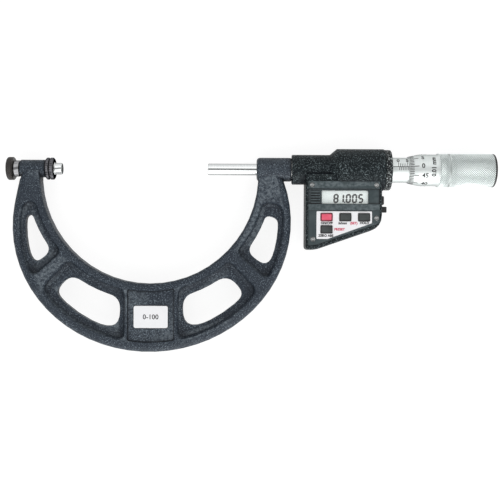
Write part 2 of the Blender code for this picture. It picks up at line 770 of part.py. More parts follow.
def bow_outline(first, last, margins, reaches, count=6, soft=3):
    """An outline in the frame's bow, with one side along the throat and the other along the rim.

    reaches are the corners': last end at the throat, last at the rim, first at the rim, first at the throat.
    """
    inner = [throat_point(first[0] + (last[0] - first[0]) * i / (count - 1), margins[0]) for i in range(count)]
    outer = [rim_point(last[1] + (first[1] - last[1]) * i / (count - 1), margins[1]) for i in range(count)]
    sides = [inner, [inner[-1], outer[0]], outer, [outer[-1], inner[0]]]
    return softened(sides, reaches, soft)


def bow_openings(kind):
    """The four outlines of the windows or of the pockets: upper and lower, left and right."""
    down = -math.pi / 2
    outlines = []
    for hand in (-1, 1):
        if kind == "window":
            span, upper, corners = UPPER_WINDOW_SPAN, UPPER_WINDOW_MARGINS, UPPER_WINDOW_CORNERS
            far_end, lower = LOWER_WINDOW_END, LOWER_WINDOW_MARGINS
            gap = PANEL_HALF_WIDTH + PANEL_RIB + WINDOW_TO_POCKET
            lower_corners, soft = LOWER_WINDOW_CORNERS, 6
        else:
            span, upper = UPPER_POCKET_SPAN, (THROAT_RIM, UPPER_RIM)
            corners = (POCKET_CORNER,) * 4
            far_end, lower = LOWER_POCKET_END, (THROAT_RIM, LOWER_RIM)
            gap = PANEL_HALF_WIDTH + PANEL_RIB
            lower_corners, soft = corners, 4
        ends = [radial_end(down + hand * angle, upper) for angle in span]
        outlines.append(bow_outline(ends[0], ends[1], upper, corners, 6, soft))
        first = radial_end(down + hand * far_end, lower)
        last = upright_end(PANEL_X + hand * gap, lower)
        outlines.append(bow_outline(first, last, lower, lower_corners, 6, soft))
    return outlines


def panel_outline():
    """The outline of the shallow centre panel."""
    margins = (THROAT_RIM, LOWER_RIM)
    first = upright_end(PANEL_X - PANEL_HALF_WIDTH, margins)
    last = upright_end(PANEL_X + PANEL_HALF_WIDTH, margins)
    return bow_outline(first, last, margins, (PANEL_CORNER,) * 4)


def make_pocket(name, outline, face):
    """A tool for one pocket: its floor at the web, its wall a fillet up to a softened crest."""
    area = sum(a[0] * b[1] - a[1] * b[0] for a, b in straight_sides(outline))
    loop = outline if area > 0 else outline[::-1]
    web, half = WEB_THICKNESS / 2, FRAME_THICKNESS / 2
    diagonal = POCKET_FILLET * (1 - math.sqrt(0.5))
    section = [
        (web, POCKET_FILLET),
        (web + diagonal, diagonal),
        (web + POCKET_FILLET, 0),
        (half, -POCKET_CREST),
        (half + 2 * MM, -POCKET_CREST),
    ]
    layers = [(face * height, inset(loop, [amount] * len(loop))) for height, amount in section[::face]]
    return stacked(name, layers)


def make_frame():
    """The C-shaped casting: bow with rims, pockets, windows and centre panel, and a hub at each end."""
    half = FRAME_THICKNESS / 2
    right = level_angle((0.0, math.pi / 2))
    left = level_angle((math.pi / 2, math.pi))
    rim_count, throat_count = 42, 29
    outline = []
    for i in range(rim_count):
        x, y = rim_point(right - (right + TURN - left) * i / (rim_count - 1))
        rise = min(max(0.0, (y + HEEL_HEIGHT) / (HEEL_HEIGHT - ANVIL_HUB_RADIUS)), 1.0) if x < THROAT_X else 0.0
        outline.append((x - HEEL_FLARE * rise**2, y))
    tip = math.asin(-THROAT_Y / THROAT_RADIUS)
    outline += [throat_point(math.pi - tip + (math.pi + 2 * tip) * i / (throat_count - 1)) for i in range(throat_count)]
    frame = slab("frame", [outline], -half, half, "frame_paint")

    def weight(a, b):
        if abs(a.z - b.z) > half / 10:
            return 0.0
        reach = [math.hypot(p.x - THROAT_X, p.y - THROAT_Y) for p in (a, b)]
        on_throat = max(abs(r - THROAT_RADIUS) for r in reach) < 0.02 * MM and abs(a.y + b.y) > 0.02 * MM
        return THROAT_ROUNDING / RIM_ROUNDING if on_throat else 1.0

    round_edges(frame, RIM_ROUNDING, 3, weight)

    anvil_hub = [
        (HUB_BACK, 0),
        (HUB_BACK, ANVIL_HUB_RADIUS - HUB_EDGE),
        (HUB_BACK + HUB_EDGE, ANVIL_HUB_RADIUS),
        (HUB_FACE - HUB_EDGE, ANVIL_HUB_RADIUS),
        (HUB_FACE, ANVIL_HUB_RADIUS - HUB_EDGE),
        (HUB_FACE, 0),
    ]
    combine(frame, turned("anvil_hub", anvil_hub, steps=FINE_STEPS), "UNION")
    nose = arc(
        (NOSE + HUB_NOSE_ROUNDING, SPINDLE_HUB_RADIUS - HUB_NOSE_ROUNDING), HUB_NOSE_ROUNDING, math.pi, math.pi / 2, 4
    )
    spindle_hub = [(NOSE, 0), *nose, (HUB_END - HUB_EDGE, SPINDLE_HUB_RADIUS)]
    spindle_hub += [(HUB_END, SPINDLE_HUB_RADIUS - HUB_EDGE), (HUB_END, 0)]
    combine(frame, turned("spindle_hub", spindle_hub, steps=FINE_STEPS), "UNION")

    beyond = half + 2 * MM
    panel = half - PANEL_DEPTH
    for face in (1, -1):
        for number, loop in enumerate(bow_openings("pocket")):
            combine(frame, make_pocket(f"pocket_{number}_{face}", loop, face))
        low, high = sorted((face * panel, face * beyond))
        combine(frame, slab(f"panel_{face}", [panel_outline()], low, high))
    for number, loop in enumerate(bow_openings("window")):
        combine(frame, slab(f"window_{number}", [loop], -beyond, beyond))

    bore = SPINDLE_RADIUS + SEAT / 2
    shank_hole = [(HUB_BACK - MM, 0), (HUB_BACK - MM, bore), (HUB_FACE + MM, bore), (HUB_FACE + MM, 0)]
    combine(frame, turned("shank_hole", shank_hole))
    tube_hole = [
        (NOSE - MM, 0),
        (NOSE - MM, BUSH_RADIUS + SEAT),
        (TUBE_START - SEAT, BUSH_RADIUS + SEAT),
        (TUBE_START - SEAT, TUBE_RADIUS + SEAT / 2),
        (HUB_END + MM, TUBE_RADIUS + SEAT / 2),
        (HUB_END + MM, 0),
    ]
    combine(frame, turned("tube_hole", tube_hole))
    label_z = panel + LABEL_GAP
    label = soft_rectangle((PANEL_X, LABEL_Y), LABEL_WIDTH, LABEL_HEIGHT, LABEL_CORNER)
    slab("range_label", [label], label_z, label_z + LABEL_THICKNESS, "white_panel", (PANEL_X, LABEL_Y))


def ring_outline(start, end, inner, outer, chamfer):
    """The section of a plain ring with both outer edges broken."""
    return [
        (start, inner),
        (start, outer - chamfer),
        (start + chamfer, outer),
        (end - chamfer, outer),
        (end, outer - chamfer),
        (end, inner),
    ]


def make_anvil_end():
    """The anvil with its two nuts, and the washer and the knob that clamp it."""
    clear = SPINDLE_RADIUS + SEAT / 2
    stud_end = HUB_BACK + SEAT - STUD_LENGTH
    anvil = [
        (stud_end, 0),
        (stud_end, STUD_RADIUS - TIP_CHAMFER),
        (stud_end + TIP_CHAMFER, STUD_RADIUS),
        (HUB_BACK + SEAT, STUD_RADIUS),
        (HUB_BACK + SEAT, SPINDLE_RADIUS),
        (HUB_FACE + SEAT, SPINDLE_RADIUS),
        (HUB_FACE + SEAT, ANVIL_THREAD_RADIUS),
        (NUTS_START + TIP_CHAMFER, ANVIL_THREAD_RADIUS),
        (NUTS_START + 2 * TIP_CHAMFER, SPINDLE_RADIUS),
        (-TIP_CHAMFER, SPINDLE_RADIUS),
        (0, SPINDLE_RADIUS - TIP_CHAMFER),
        (0, 0),
    ]
    turned("anvil", anvil, "ground_steel", FINE_STEPS)
    bore = ANVIL_THREAD_RADIUS + RUNNING
    front = ring_outline(NUTS_START - FRONT_NUT_WIDTH, NUTS_START, bore, NUT_RADIUS, NUT_CHAMFER)
    rear = ring_outline(REAR_NUT_FACE - REAR_NUT_WIDTH, REAR_NUT_FACE, bore, NUT_RADIUS, NUT_CHAMFER)
    for name, outline in (("anvil_nut_front", front), ("anvil_nut_rear", rear)):
        flute(turned(name, outline, "black_steel", 2 * NUT_TEETH), NUT_RADIUS, NUT_TEETH, FLUTE_DEPTH)
    washer = ring_outline(WASHER_FACE - WASHER_WIDTH, WASHER_FACE, STUD_RADIUS + RUNNING, WASHER_RADIUS, TIP_CHAMFER)
    turned("clamp_washer", washer, "ground_steel")
    blind = KNOB_END + KNOB_WALL
    knob = [
        (KNOB_END, 0),
        (KNOB_END, KNOB_RADIUS - KNOB_CHAMFER),
        (KNOB_END + KNOB_CHAMFER, KNOB_RADIUS),
        (KNOB_FACE - KNOB_CHAMFER / 2, KNOB_RADIUS),
        (KNOB_FACE, KNOB_RADIUS - KNOB_CHAMFER / 2),
        (KNOB_FACE, STUD_RADIUS + RUNNING),
        (blind, STUD_RADIUS + RUNNING),
        (blind, 0),
    ]
    flute(turned("clamp_knob", knob, "black_steel", 2 * KNOB_TEETH), KNOB_RADIUS, KNOB_TEETH, FLUTE_DEPTH)


def make_carrier_tube():
    """The bush in the spindle hub and the steel tube that carries the head casting."""
    bush_start = NOSE + SEAT
    bush = ring_outline(bush_start, bush_start + BUSH_LENGTH, SPINDLE_RADIUS + RUNNING, BUSH_RADIUS, TIP_CHAMFER)
    turned("spindle_bush", bush, "brass")
    tube = ring_outline(TUBE_START, TUBE_END, TUBE_BORE, TUBE_RADIUS, TIP_CHAMFER / 2)
    turned("barrel_tube", tube, "ground_steel")


def case_corners():
    """The display case's outline without its rounding, anticlockwise from the top left."""
    return [
        (CASE_LEFT, CASE_TOP),
        (CASE_LEFT, CASE_BOTTOM),
        (CASE_LEFT + CASE_FOOT, CASE_BOTTOM),
        (CASE_RIGHT, CASE_TOE),
        (CASE_RIGHT, CASE_TOP),
    ]


def case_inset(foot, side, top, toe=CASE_TOE_CORNER):
    """The case's outline moved inwards by foot and side distances, with its upper side at its own height."""
    corners = inset(case_corners(), [side, foot, foot, side, CASE_TOP - top])
    least = MM / 2
    foot_corner = max(CASE_FOOT_CORNER - foot, least)
    return soft_polygon(corners, [least, foot_corner, CASE_HEEL_CORNER, toe, least])


def face_outline(gap):
    """The outline of the face plate's recess, or the same moved inwards by a gap."""
    return case_inset(FACE_INSET + gap, FACE_SIDE_INSET + gap, FACE_TOP - gap, FACE_TOE_CORNER)


def cavity_outline(gap):
    """The outline of the hollow in the case, or the same moved inwards by a gap."""
    return case_inset(CASE_WALL + gap, CASE_WALL + gap, CAVITY_TOP - gap, CAVITY_TOE_CORNER)


def screw_places():
    """Where the four face screws stand."""
    right = CASE_RIGHT - SCREWS_RIGHT
    return [
        (CASE_LEFT + SCREWS_LEFT, SCREWS_TOP),
        (right, SCREWS_TOP),
        (CASE_LEFT + SCREW_HEEL_X, SCREW_HEEL_Y),
        (right, SCREW_TOE_Y),
    ]


def post_places():
    """Where the circuit board rests on posts."""
    return [
        (CASE_LEFT + POST_LEFT, POST_TOP),
        (CASE_RIGHT - POST_RIGHT, POST_TOP),
        (CASE_RIGHT - POST_TOE_X, POST_TOE_Y),
        (CASE_LEFT + POST_HEEL_X, POST_HEEL_Y),
    ]


def button_places():
    """Name, colour and centre of each button."""
    first, last = CASE_LEFT + BUTTONS_LEFT, CASE_RIGHT - BUTTONS_RIGHT
    return [
        ("power_button", "red_key", (first, BUTTONS_UPPER)),
        ("units_button", "dark_key", ((first + last) / 2, BUTTONS_UPPER)),
        ("hold_button", "dark_key", (last, BUTTONS_UPPER)),
        ("zero_button", "dark_key", (first, BUTTONS_LOWER)),
    ]


def make_head_housing():
    """The casting of front sleeve, cone, barrel and display case."""
    profile = [
        (HEAD_START, 0),
        (HEAD_START, FRONT_SLEEVE_RADIUS - HEAD_EDGE),
        (HEAD_START + HEAD_EDGE, FRONT_SLEEVE_RADIUS),
        (CONE_START, FRONT_SLEEVE_RADIUS),
        (BARREL_START, BARREL_RADIUS),
        (BARREL_END - HEAD_EDGE, BARREL_RADIUS),
        (BARREL_END, BARREL_RADIUS - HEAD_EDGE),
        (BARREL_END, 0),
    ]
    housing = turned("head_housing", profile, "head_paint", FINE_STEPS)
    layers = []
    for edge, level, out in ((CASE_BEVEL / 2, CASE_BACK, 1), (CASE_BEVEL, CASE_FRONT, -1)):
        rounding = []
        for turn in (0, math.pi / 4, math.pi / 2):
            height = level + out * edge * (1 - math.sin(turn))
            share = 1 - math.cos(turn)
            rounding.append((height, case_inset(edge * share, CASE_SIDE_BEVEL * share, CASE_TOP)))
        layers += sorted(rounding, key=lambda layer: layer[0])
    combine(housing, stacked("case", layers), "UNION")

    shoulder = TUBE_RADIUS + SEAT / 2
    bearing = BEARING_RADIUS + SEAT / 2
    bore = [
        (HEAD_START - MM, 0),
        (HEAD_START - MM, shoulder),
        (TUBE_END + SEAT / 2, shoulder),
        (TUBE_END + SEAT / 2, bearing),
        (CHAMBER_START, bearing),
        (CHAMBER_START, CHAMBER_RADIUS),
        (BARREL_END + MM, CHAMBER_RADIUS),
        (BARREL_END + MM, 0),
    ]
    combine(housing, turned("bore", bore, steps=FINE_STEPS))
    combine(housing, slab("face_recess", [face_outline(0)], LEDGE, CASE_FRONT + MM))
    combine(housing, slab("cavity", [cavity_outline(0)], CAVITY_FLOOR, LEDGE + MM))
    bay_x = CASE_LEFT + WINDOW_LEFT - PANEL_BORDER - SEAT
    bay_low = (bay_x, WINDOW_Y - WINDOW_HEIGHT / 2 - PANEL_BORDER - SEAT, GLASS_BACK - SEAT)
    bay_high = (bay_x + WINDOW_WIDTH + 2 * PANEL_BORDER + 2 * SEAT, WINDOW_Y + WINDOW_HEIGHT / 2 + PANEL_BORDER + SEAT)
    combine(housing, block("display_bay", bay_low, (*bay_high, LEDGE + MM)))

    inside = CAVITY_FLOOR - MM
    pillars = [(x, y, BOSS_RADIUS, LEDGE) for x, y in screw_places()[2:]]
    pillars += [(x, y, POST_RADIUS, BOARD_BACK - SEAT) for x, y in post_places()]
    for number, (x, y, radius, top) in enumerate(pillars):
        post = turned(
            f"post_{number}", [(inside, 0), (inside, radius), (top, radius), (top, 0)], steps=12, at=(x, y, 0), axis="Z"
        )
        combine(housing, post, "UNION")

    hole = FACE_SCREW_RADIUS + SEAT / 2
    hole_floor = LEDGE - FACE_SCREW_REACH - SEAT
    for number, (x, y) in enumerate(screw_places()):
        outline = [(hole_floor, 0), (hole_floor, hole), (LEDGE + MM, hole), (LEDGE + MM, 0)]
        combine(housing, turned(f"screw_hole_{number}", outline, steps=12, at=(x, y, 0), axis="Z"))

    seal_floor = CASE_BACK + CAP_FLANGE_THICKNESS + SEAL_THICKNESS + 3 * LABEL_GAP
    plug_hole = BATTERY_RADIUS + SEAT
    flange_hole = plug_hole + CAP_FLANGE
    battery_hole = [
        (CASE_BACK - MM, 0),
        (CASE_BACK - MM, flange_hole),
        (seal_floor, flange_hole),
        (seal_floor, plug_hole),
        (CAVITY_FLOOR + MM / 2, plug_hole),
        (CAVITY_FLOOR + MM / 2, 0),
    ]
    at = (BATTERY_X, BATTERY_Y, 0)
    combine(housing, turned("battery_hole", battery_hole, steps=FINE_STEPS, at=at, axis="Z"))
    port = PORT_HALF + SEAT
    low = (CASE_RIGHT - CASE_WALL - MM, PORT_Y - port, -port)
    combine(housing, block("port_hole", low, (CASE_RIGHT + MM, PORT_Y + port, port)))
    ribbon = RIBBON_WIDTH / 2 + SEAT
    low = (STATOR_END, CAVITY_TOP - MM, -ribbon)
    combine(housing, block("ribbon_slot", low, (STATOR_END + 6 * SEAT, -CHAMBER_RADIUS + MM, ribbon)))


def make_encoder():
    """The bearing, the keyed rotor and the stator that read how far the spindle has turned."""
    hub_bore = SPINDLE_RADIUS + RUNNING
    bearing = ring_outline(BEARING_START, BEARING_END, ROTOR_HUB_RADIUS + RUNNING, BEARING_RADIUS, TIP_CHAMFER)
    turned("rotor_bearing", bearing, "brass")
    disc = CHAMBER_RADIUS - ENCODER_RIM_GAP
    rotor = [
        (BEARING_START + SEAT, hub_bore),
        (BEARING_START + SEAT, ROTOR_HUB_RADIUS),
        (ROTOR_DISC_START, ROTOR_HUB_RADIUS),
        (ROTOR_DISC_START, disc),
        (ROTOR_DISC_END, disc),
        (ROTOR_DISC_END, hub_bore),
    ]
    rotor_piece = turned("encoder_rotor", rotor, "brass")
    key_hole = KEY_RADIUS + SEAT / 2
    outline = [(0, 0), (0, key_hole), (BEARING_RADIUS, key_hole), (BEARING_RADIUS, 0)]
    combine(rotor_piece, turned("key_hole", outline, steps=12, at=(KEY_X, 0, 0), axis="Z"))
    key_low = SPINDLE_RADIUS - KEYWAY_DEPTH + SEAT / 2
    key_high = ROTOR_HUB_RADIUS - SEAT / 2
    key = [(key_low, 0), (key_low, KEY_RADIUS), (key_high, KEY_RADIUS), (key_high, 0)]
    turned("rotor_key", key, "ground_steel", 12, (KEY_X, 0, 0), "Z")
    stator = ring_outline(
        STATOR_START, STATOR_END, SPINDLE_THREAD_RADIUS + 4 * RUNNING, CHAMBER_RADIUS - SEAT, TIP_CHAMFER / 2
    )
    turned("encoder_stator", stator, "circuit")


def make_nut_tube():
    """The slotted nut tube with its flange, the ring that closes it, and the graduated sleeve."""
    bore = SPINDLE_THREAD_RADIUS + RUNNING
    tube = [
        (FLANGE_START, bore),
        (FLANGE_START, CHAMBER_RADIUS - SEAT),
        (FLANGE_END, CHAMBER_RADIUS - SEAT),
        (FLANGE_END, NUT_TUBE_RADIUS),
        (NUT_STEP, NUT_TUBE_RADIUS),
        (NUT_STEP + HEAD_EDGE, NUT_TUBE_END),
        (NUT_END, NUT_TUBE_END),
        (NUT_END, bore),
    ]
    nut = turned("spindle_nut", tube, "ground_steel")
    start, end = NUT_END - NUT_SLOT_LENGTH, NUT_END + MM
    reach = NUT_TUBE_RADIUS + MM
    half = NUT_SLOT / 2
    combine(nut, block("slot_upright", (start, -half, -reach), (end, half, reach)))
    combine(nut, block("slot_level", (start, -reach, -half), (end, reach, half)))
    adjuster = ring_outline(
        ADJUSTER_START, ADJUSTER_START + ADJUSTER_WIDTH, NUT_TUBE_END + RUNNING, ADJUSTER_RADIUS, TIP_CHAMFER
    )
    turned("adjusting_nut", adjuster, "ground_steel")
    sleeve = ring_outline(SLEEVE_START, SLEEVE_END, NUT_TUBE_RADIUS + RUNNING, SLEEVE_RADIUS, TIP_CHAMFER / 2)
    turned("sleeve", sleeve, "satin_chrome", FINE_STEPS)


def make_rear_ring():
    """The ring that closes the barrel, with the spigot that holds the nut tube's flange."""
    bore = NUT_TUBE_RADIUS + SEAT / 2
    spigot = RING_START - SPIGOT_LENGTH
    ring = [
        (spigot, bore),
        (spigot, CHAMBER_RADIUS - SEAT),
        (RING_START, CHAMBER_RADIUS - SEAT),
        (RING_START, RING_RADIUS - HEAD_EDGE / 2),
        (RING_START + HEAD_EDGE / 2, RING_RADIUS),
    ]
    ring += arc((RING_END - RING_ROUNDING, RING_RADIUS - RING_ROUNDING), RING_ROUNDING, math.pi / 2, 0, 4)
    ring.append((RING_END, bore))
    turned("rear_ring", ring, "head_paint", FINE_STEPS)


def make_spindle():
    """The spindle: ground rod with a keyway, thread, seating cone and tail."""
    thread_end = SEAT_START - HEAD_EDGE
    profile = [
        (MEASURING_GAP, 0),
        (MEASURING_GAP, SPINDLE_RADIUS - TIP_CHAMFER),
        (MEASURING_GAP + TIP_CHAMFER, SPINDLE_RADIUS),
        (THREAD_START, SPINDLE_RADIUS),
        (THREAD_START + HEAD_EDGE, SPINDLE_THREAD_RADIUS),
        (thread_end, SPINDLE_THREAD_RADIUS),
        (SEAT_END, CONE_END_RADIUS),
        (SEAT_END, TAIL_RADIUS),
        (SPINDLE_END, TAIL_RADIUS),
        (SPINDLE_END, SCREW_THREAD_RADIUS + SEAT / 2),
        (SPINDLE_END - SCREW_THREAD_LENGTH - MM, SCREW_THREAD_RADIUS + SEAT / 2),
        (SPINDLE_END - SCREW_THREAD_LENGTH - MM, 0),
    ]
    spindle = turned("spindle", profile, "ground_steel", FINE_STEPS)
    low = (KEY_X - FEED_OUT - MM, -KEYWAY_WIDTH / 2, SPINDLE_RADIUS - KEYWAY_DEPTH)
    high = (KEY_X + FEED_IN + MM, KEYWAY_WIDTH / 2, SPINDLE_RADIUS + MM)
    combine(spindle, block("keyway", low, high))


def make_thimble():
    """The thimble, from its bevelled edge to the neck that carries the friction thimble."""
    groove = NECK_RADIUS - FRICTION_SPRING_THICKNESS - SEAT / 2
    groove_start, groove_end = SPRING_START - SEAT, SPRING_START + FRICTION_SPRING_WIDTH + SEAT
    slack = RUNNING / 2
    profile = [
        (THIMBLE_START, THIMBLE_BORE),
        (THIMBLE_START, THIMBLE_EDGE),
        (THIMBLE_FULL, THIMBLE_RADIUS),
        (THIMBLE_KNURL, THIMBLE_RADIUS),
        (THIMBLE_KNURL + KNURL_STEP, KNURL_RADIUS),
        (THIMBLE_END - HEAD_EDGE, KNURL_RADIUS),
        (THIMBLE_END, KNURL_RADIUS - HEAD_EDGE),
        (THIMBLE_END, NECK_RADIUS),
        (groove_start, NECK_RADIUS),
        (groove_start, groove),
        (groove_end, groove),
        (groove_end, NECK_RADIUS),
        (NECK_END, NECK_RADIUS),
        (NECK_END, NECK_BORE),
        (SEAT_END + SEAT, NECK_BORE),
        (SEAT_END + SEAT, CONE_END_RADIUS + slack),
        (SEAT_START, SPINDLE_THREAD_RADIUS + slack),
        (SEAT_START, THIMBLE_BORE),
    ]
    turned("thimble", profile, "satin_chrome", FINE_STEPS)


def make_friction_thimble():
    """The knurled cap that slips on the thimble's neck, its spring and the screw behind it."""
    hole = SCREW_SHOULDER_RADIUS + RUNNING
    sink = FRICTION_END - SCREW_HEAD_SINK - SCREW_HEAD_HEIGHT - SEAT
    counterbore = SCREW_HEAD_RADIUS + 2 * RUNNING
    inner_end = FRICTION_END - FRICTION_END_WALL
    cap = [
        (FRICTION_START, FRICTION_BORE),
        (FRICTION_START, KNURL_RADIUS - HEAD_EDGE),
        (FRICTION_START + HEAD_EDGE, KNURL_RADIUS),
    ]
    corner = (FRICTION_END - FRICTION_ROUNDING, KNURL_RADIUS - FRICTION_ROUNDING)
    cap += arc(corner, FRICTION_ROUNDING, math.pi / 2, 0, 4)
    cap += [
        (FRICTION_END, counterbore),
        (sink, counterbore),
        (sink, hole),
        (inner_end, hole),
        (inner_end, FRICTION_BORE),
    ]
    turned("friction_thimble", cap, "satin_chrome", FINE_STEPS)

    inner = NECK_RADIUS - FRICTION_SPRING_THICKNESS
    spring = ring_outline(0, FRICTION_SPRING_WIDTH, inner, NECK_RADIUS, SEAT / 2)
    ring = turned("friction_spring", spring, "ground_steel", FINE_STEPS, (SPRING_START, 0, 0))
    low = (SPRING_START - MM, inner * 0.3, -inner * 0.3)
    high = (SPRING_START + FRICTION_SPRING_WIDTH + MM, NECK_RADIUS + MM, inner * 0.3)
    combine(ring, block("spring_gap", low, high))

    head_end = FRICTION_END - SCREW_HEAD_SINK
    thread_end = SPINDLE_END - SCREW_THREAD_LENGTH
    shoulder = SPINDLE_END + SEAT
    screw = [
        (thread_end, 0),
        (thread_end, SCREW_THREAD_RADIUS),
        (shoulder, SCREW_THREAD_RADIUS),
        (shoulder, SCREW_SHOULDER_RADIUS),
        (head_end - SCREW_HEAD_HEIGHT, SCREW_SHOULDER_RADIUS),
        (head_end - SCREW_HEAD_HEIGHT, SCREW_HEAD_RADIUS),
        (head_end - TIP_CHAMFER, SCREW_HEAD_RADIUS),
        (head_end, SCREW_HEAD_RADIUS - TIP_CHAMFER),
        (head_end, 0),
    ]
    piece = turned("thimble_screw", screw, "ground_steel")
    low = (head_end - SCREW_HEAD_HEIGHT / 2, -SCREW_SLOT / 2, -SCREW_HEAD_RADIUS - MM)
    combine(piece, block("screw_slot", low, (head_end + MM, SCREW_SLOT / 2, SCREW_HEAD_RADIUS + MM)))


def keypad_outline(margin=0.0):
    """The five-sided keypad panel, or the same shape with each side moved inwards."""
    left = CASE_LEFT + KEYPAD_LEFT
    right = left + KEYPAD_WIDTH
    corners = [
        (left, KEYPAD_TOP),
        (left, KEYPAD_TOP - KEYPAD_LEFT_HEIGHT),
        (left + KEYPAD_FOOT, KEYPAD_TOP - KEYPAD_LEFT_HEIGHT),
        (right, KEYPAD_TOP - KEYPAD_RIGHT_HEIGHT),
        (right, KEYPAD_TOP),
    ]
    if margin:
        corners = inset(corners, [margin] * 5)
    return soft_polygon(corners, [KEYPAD_CORNER] * 5, 2)


def make_face_plate():
    """The front cover: sunk display band with grip ribs, keypad field, button holes and screw holes."""
    holes = [soft_rectangle((WINDOW_X, WINDOW_Y), WINDOW_WIDTH, WINDOW_HEIGHT, WINDOW_CORNER)]
    room = 2 * SEAT
    for _, _, centre in button_places():
        holes.append(soft_rectangle(centre, BUTTON_WIDTH + room, BUTTON_HEIGHT + room, BUTTON_CORNER, 2))
    for place_x, place_y in screw_places():
        holes.append(arc((place_x, place_y), FACE_SCREW_RADIUS + SEAT / 2, 0, TURN * 11 / 12, 12))
    plate = slab("face_plate", [face_outline(FACE_GAP), *holes], LEDGE + FACE_GAP, CASE_FRONT, "case_plastic")
    left, right = CASE_LEFT - MM, CASE_RIGHT + MM
    above = CASE_FRONT + MM
    combine(plate, block("display_band", (left, BAND_BOTTOM, BAND_FLOOR), (right, BAND_TOP, above)))
    combine(plate, block("keypad_field", (left, CASE_BOTTOM - MM, FIELD_FLOOR), (right, FIELD_TOP, above)))
    combine(plate, slab("keypad_recess", [keypad_outline(-LABEL_GAP)], KEYPAD_FLOOR, above))
    head = FACE_SCREW_HEAD + SEAT / 2
    sink = CASE_FRONT - FACE_SCREW_SINK - FACE_SCREW_HEAD_HEIGHT - SEAT / 2
    for number, (x, y) in enumerate(screw_places()):
        outline = [(sink, 0), (sink, head), (above, head), (above, 0)]
        combine(plate, turned(f"head_hole_{number}", outline, steps=16, at=(x, y, 0), axis="Z"))
    rib_x = CASE_LEFT + GRIP_RIB_OFFSET
    for number in range(GRIP_RIBS):
        y = WINDOW_Y + (number - (GRIP_RIBS - 1) / 2) * GRIP_RIB_PITCH
        low = (rib_x, y - GRIP_RIB_WIDTH / 2, BAND_FLOOR - GRIP_RIB_HEIGHT / 2)
        high = (rib_x + GRIP_RIB_LENGTH, y + GRIP_RIB_WIDTH / 2, BAND_FLOOR + GRIP_RIB_HEIGHT)
        combine(plate, block(f"grip_rib_{number}", low, high), "UNION")
    lens = soft_rectangle(
        (WINDOW_X, WINDOW_Y), WINDOW_WIDTH - 2 * LABEL_GAP, WINDOW_HEIGHT - 2 * LABEL_GAP, WINDOW_CORNER
    )
    slab("lcd_window", [lens], LENS_BACK, LENS_TOP, "clear_lens", (WINDOW_X, WINDOW_Y))


def make_face_screws():
    """Four screws that hold the face plate."""
    top = CASE_FRONT - FACE_SCREW_SINK
    head = top - FACE_SCREW_HEAD_HEIGHT
    tip = LEDGE - FACE_SCREW_REACH
    for number, (x, y) in enumerate(screw_places(), 1):
        outline = [
            (tip, 0),
            (tip, FACE_SCREW_RADIUS),
            (head, FACE_SCREW_RADIUS),
            (head, FACE_SCREW_HEAD),
            (top, FACE_SCREW_HEAD),
            (top, 0),
        ]
        screw = turned(f"face_screw_{number}", outline, "ground_steel", 12, (x, y, 0), "Z")
        half = FACE_SCREW_HEAD_HEIGHT / 3
        low = (x - FACE_SCREW_HEAD - MM, y - half, top - half)
        combine(screw, block(f"driver_slot_{number}", low, (x + FACE_SCREW_HEAD + MM, y + half, top + MM)))


def make_keypad():
    """The white panel and the four buttons that come up through it."""
    room = 2 * SEAT
    holes = []
    for _, _, centre in button_places():
        holes.append(soft_rectangle(centre, BUTTON_WIDTH + room, BUTTON_HEIGHT + room, BUTTON_CORNER, 2))
    low = KEYPAD_FLOOR + LABEL_GAP
    middle = (KEYPAD_X, KEYPAD_TOP - KEYPAD_RIGHT_HEIGHT)
    slab("keypad_overlay", [keypad_outline(), *holes], low, low + KEYPAD_THICKNESS, "white_panel", middle)
    lip_top = LEDGE - SEAT / 2
    lip_low = lip_top - BUTTON_LIP_THICKNESS
    for name, slot, centre in button_places():
        cap = soft_rectangle(centre, BUTTON_WIDTH, BUTTON_HEIGHT, BUTTON_CORNER, 2)
        top = FIELD_FLOOR + BUTTON_PROUD
        button = slab(name, [cap], lip_low, top, slot, centre)
        round_edges(button, BUTTON_PROUD / 2, 1, lambda a, b: float(abs(a.z - top) + abs(b.z - top) < MM / 100))
        lip = soft_rectangle(centre, BUTTON_WIDTH + 2 * BUTTON_LIP, BUTTON_HEIGHT + 2 * BUTTON_LIP, BUTTON_CORNER, 1)
        combine(button, slab(name + "_lip", [lip], lip_low, lip_top), "UNION")


